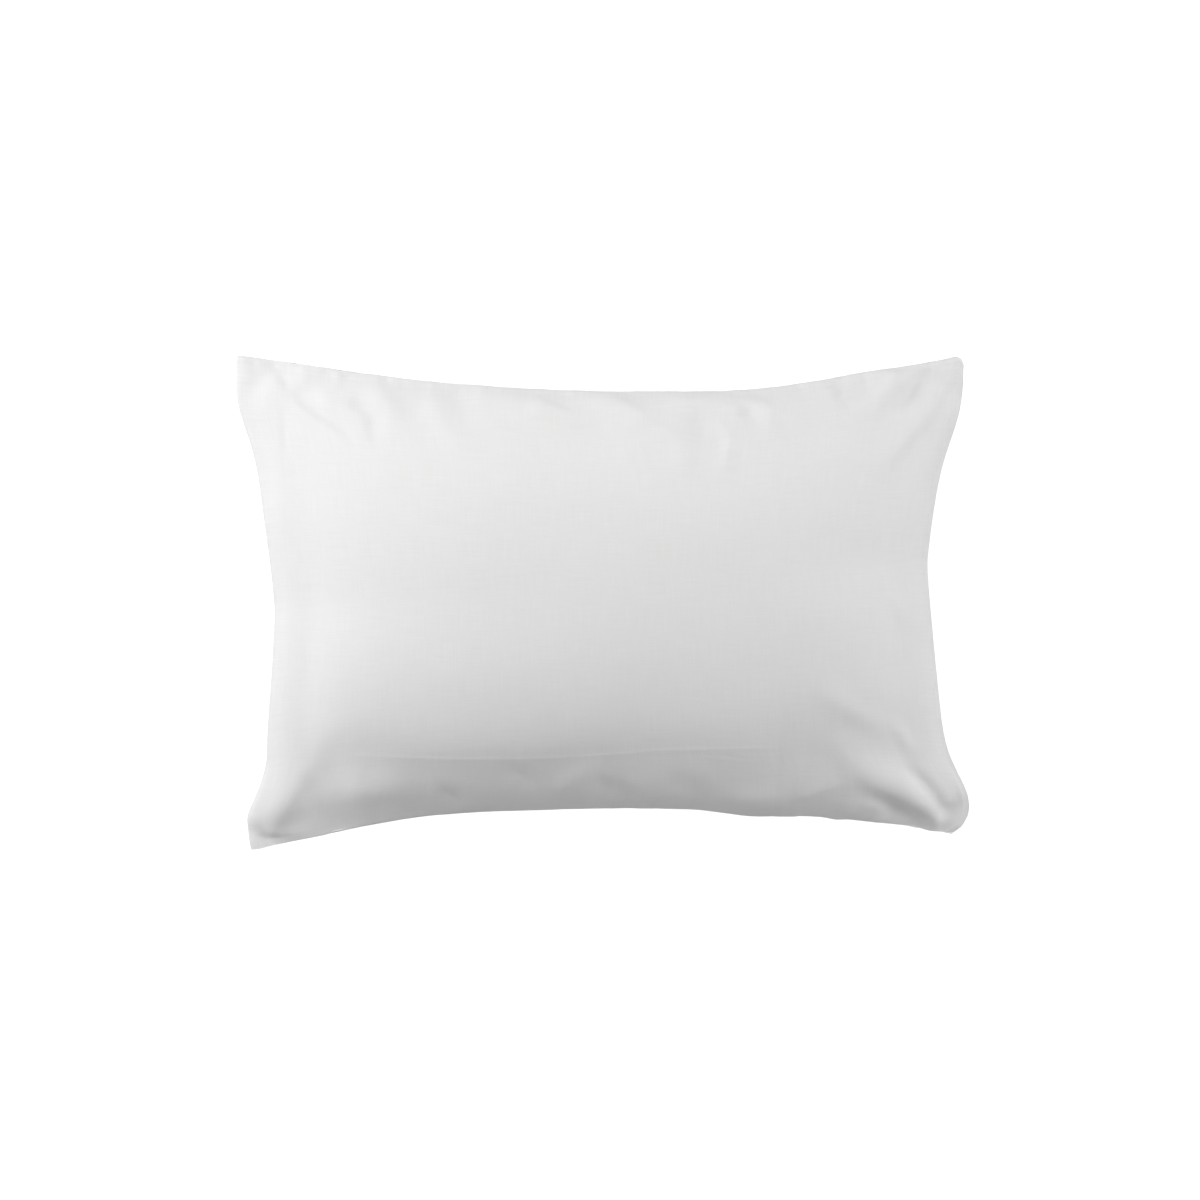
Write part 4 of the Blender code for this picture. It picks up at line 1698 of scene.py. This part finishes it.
FRONT_FOLDS: list[Fold] = [
    # drag lines from the top seam, beside the closed end
    Fold([(-328, 250), (-319, 226), (-309, 208)], -3.0, 12.0, 4.0, (0.1, 0.4)),
    Fold([(-314, 214), (-284, 190), (-260, 174), (-236, 150)], -2.3, 8.0, 2.6, (0.2, 0.4)),
    Fold([(-256, 212), (-243, 197), (-229, 186), (-224, 162), (-206, 138)], -2.4, 10.0, 3.6, (0.3, 0.6)),
    Fold([(-228, 216), (-212, 194), (-196, 158)], 1.2, 8.0, fade=(0.3, 0.6)),
    Fold([(-214, 228), (-200, 208), (-186, 184)], -3.0, 9.0, 6.5, (0.3, 0.5)),
    Fold([(-156, 218), (-138, 200), (-124, 178)], -3.4, 10.0, 8.0, (0.3, 0.5)),
    Fold([(-186, 214), (-164, 192), (-144, 160), (-124, 132)], 2.0, 7.0, 9.0, (0.5, 0.5)),
    Fold([(-320, 204), (-315, 166), (-313, 130)], -0.9, 5.0, 1.8, (0.3, 0.5)),
    # a soft fold that slants down from the middle of the top seam
    Fold([(-34, 208), (12, 197), (46, 176), (74, 150)], 5.2, 6.0, 13.0, (0.4, 0.4)),
    Fold([(-76, 200), (-45, 188), (-16, 174)], 4.2, 5.0, 9.0, (0.3, 0.4)),
    Fold([(50, 178), (80, 150), (82, 112)], 4.4, 8.0, 8.0, (0.3, 0.5)),
    Fold([(86, 198), (98, 172), (96, 140)], -3.2, 7.0, fade=(0.4, 0.5)),
    # folds beside the mouth's upper corner
    Fold([(46, 200), (98, 196), (140, 190), (158, 182)], 3.4, 9.0, 6.0, (0.4, 0.3)),
    Fold([(98, 186), (124, 166), (125, 144), (110, 118)], 4.8, 7.0, 6.0, (0.4, 0.5)),
    Fold([(140, 204), (166, 186), (188, 156)], 5.8, 6.0, 8.0, (0.4, 0.5)),
    Fold([(134, 192), (148, 184), (158, 170)], -2.8, 4.0, fade=(0.4, 0.5)),
    Fold([(308, 238), (292, 212), (250, 180)], 10.0, 8.0, 9.0, (0.3, 0.6)),
    Fold([(323, 240), (318, 214), (280, 172)], -4.6, 7.0, fade=(0.3, 0.6)),
    Fold([(337, 248), (344, 218), (300, 157), (262, 116)], 6.4, 6.0, fade=(0.2, 0.7)),
    Fold([(234, 214), (242, 201), (255, 185)], -3.6, 5.0, fade=(0.3, 0.4)),
    Fold([(226, 216), (231, 200)], 1.8, 4.0, fade=(0.3, 0.5)),
    # folds that gather in the closed end's lower corner
    Fold([(-257, -96), (-284, -150), (-311, -192), (-340, -240)], 6.0, 10.0, 24.0, (0.9, 0.1)),
    Fold([(-298, -168), (-283, -194), (-268, -222), (-262, -246)], -2.6, 18.0, 5.0, (0.5, 0.01)),
    Fold([(-262, -188), (-225, -185), (-175, -178)], 2.2, 20.0, 12.0, (0.3, 0.4)),
    Fold([(-166, -178), (-149, -191), (-130, -205)], -2.6, 6.0, 4.0, (0.5, 0.4)),
    Fold([(-100, -160), (-80, -166), (-60, -188)], -1.8, 5.0, fade=(0.5, 0.4)),
    Fold([(-50, -194), (-28, -174), (6, -154)], 2.4, 8.0, 12.0, (0.3, 0.5)),
    Fold([(-18, -176), (14, -186), (42, -202)], -2.4, 7.0, fade=(0.4, 0.3)),
    Fold([(58, -174), (92, -186), (114, -204)], -2.2, 8.0, fade=(0.4, 0.3)),
    Fold([(120, -198), (160, -195), (190, -185)], 1.5, 7.0, 9.0, (0.4, 0.4)),
    Fold([(-346, -233), (-330, -237), (-306, -235)], -1.6, 3.0, fade=(0.3, 0.5)),
    # the big roll of cloth that runs into the mouth's lower corner, with a groove on each side
    Fold([(214, -120), (262, -168), (306, -195), (350, -222)], 8.5, 14.0, 9.5, (0.8, 0.1)),
    Fold([(297, -157), (314, -174), (334, -195), (352, -220)], -4.8, 5.5, fade=(0.4, 0.2)),
    Fold([(262, -190), (302, -208), (338, -226)], -4.4, 8.0, fade=(0.5, 0.3)),
    Fold([(232, -206), (262, -211), (298, -220)], 2.0, 7.0, 5.0, (0.4, 0.4)),
    Fold([(250, -198), (268, -202), (290, -210)], 1.8, 4.0, fade=(0.4, 0.4)),
    Fold([(188, -200), (206, -195), (246, -178)], 2.2, 12.0, 2.5, (0.3, 0.5), Profile.STEP),
    # how the filling lies: full along the lower side, and rounder towards each end
    Fold([(-235, -150), (-100, -147), (60, -147)], 3.6, 36.0, 18.0),
    Fold([(0, -148), (100, -148), (200, -154)], 1.8, 36.0, 18.0),
    Fold([(-110, 20), (-105, -80), (-100, -200)], 6.0, 70.0, 100.0, (0.5, 0.3)),
    Fold([(-262, 20), (-256, -70), (-256, -170)], 4.0, 60.0, 32.0, (0.5, 0.3)),
    Fold([(258, 60), (256, -60), (262, -150)], 3.0, 35.0, 60.0, (0.4, 0.3)),
    # slack beside the mouth
    Fold([(276, 26), (292, -2), (310, -38)], 1.4, 6.0, fade=(0.5, 0.5)),
    Fold([(286, -110), (300, -134), (318, -160)], 2.0, 5.0, fade=(0.4, 0.5)),
    Fold([(192, -70), (246, -106), (306, -142)], 1.8, 8.0, fade=(0.5, 0.5)),
    # where the case was pressed in folds before it went on
    Fold([(-275, -150), (-120, -149), (0, -147), (80, -143), (192, -142)], 0.26, 1.0, 2.6, (0.15, 0.1)),
    Fold([(-90, -55), (100, -55)], 0.16, 1.8),
    Fold([(3, 10), (3, -92)], 0.18, 1.8),
    Fold([(55, -150), (92, -144), (128, -152)], 0.14, 1.4),
    Fold([(84, -147), (124, -154), (176, -157)], 0.16, 1.4),
    Fold([(110, -142), (150, -151), (200, -150)], 0.14, 1.4),
]
BACK_FOLDS: list[Fold] = [
    # drag lines that run from the corners in towards the bed
    Fold([(-334, 226), (-296, 196), (-262, 150)], -3.4, 9.0, 5.0, (0.3, 0.5)),
    Fold([(-318, 232), (-280, 214), (-236, 186)], 3.0, 8.0, fade=(0.3, 0.5)),
    Fold([(-330, -222), (-300, -190), (-258, -160)], 3.6, 8.0, 5.0, (0.3, 0.5)),
    Fold([(-304, -228), (-268, -206), (-236, -172)], -3.0, 7.0, fade=(0.3, 0.5)),
    Fold([(330, -208), (296, -176), (262, -132)], -3.6, 9.0, 5.0, (0.2, 0.5)),
    Fold([(306, -216), (268, -190), (228, -172)], 3.2, 8.0, fade=(0.3, 0.5)),
    Fold([(338, 222), (306, 184), (282, 132)], 4.0, 8.0, 5.0, (0.3, 0.5)),
    Fold([(314, 228), (282, 204), (238, 176)], -3.0, 7.0, fade=(0.3, 0.5)),
    # gathers beside the side seams
    Fold([(-120, 214), (-96, 190), (-84, 160)], -2.2, 7.0, fade=(0.3, 0.5)),
    Fold([(-6, 208), (12, 186), (14, 156)], -2.6, 8.0, fade=(0.3, 0.5)),
    Fold([(118, 212), (104, 186), (98, 164)], 2.2, 7.0, fade=(0.3, 0.5)),
    Fold([(-150, -206), (-128, -186), (-122, -158)], 2.4, 7.0, fade=(0.3, 0.5)),
    Fold([(-20, -204), (-6, -182), (-8, -154)], -2.4, 8.0, fade=(0.3, 0.5)),
    Fold([(128, -208), (112, -184), (108, -158)], -2.2, 7.0, fade=(0.3, 0.5)),
]


def main() -> None:
    """Builds the case, the insert and the studio."""
    logging.basicConfig(level=logging.INFO, format="%(name)s: %(message)s")
    form = PillowForm(folds={Side.FRONT: FRONT_FOLDS, Side.BACK: BACK_FOLDS})
    shop = Workshop()
    FibreInsert(form, shop).build()
    HousewifeCase(form, shop).build()
    Studio().build()


if __name__ == "__main__":
    main()
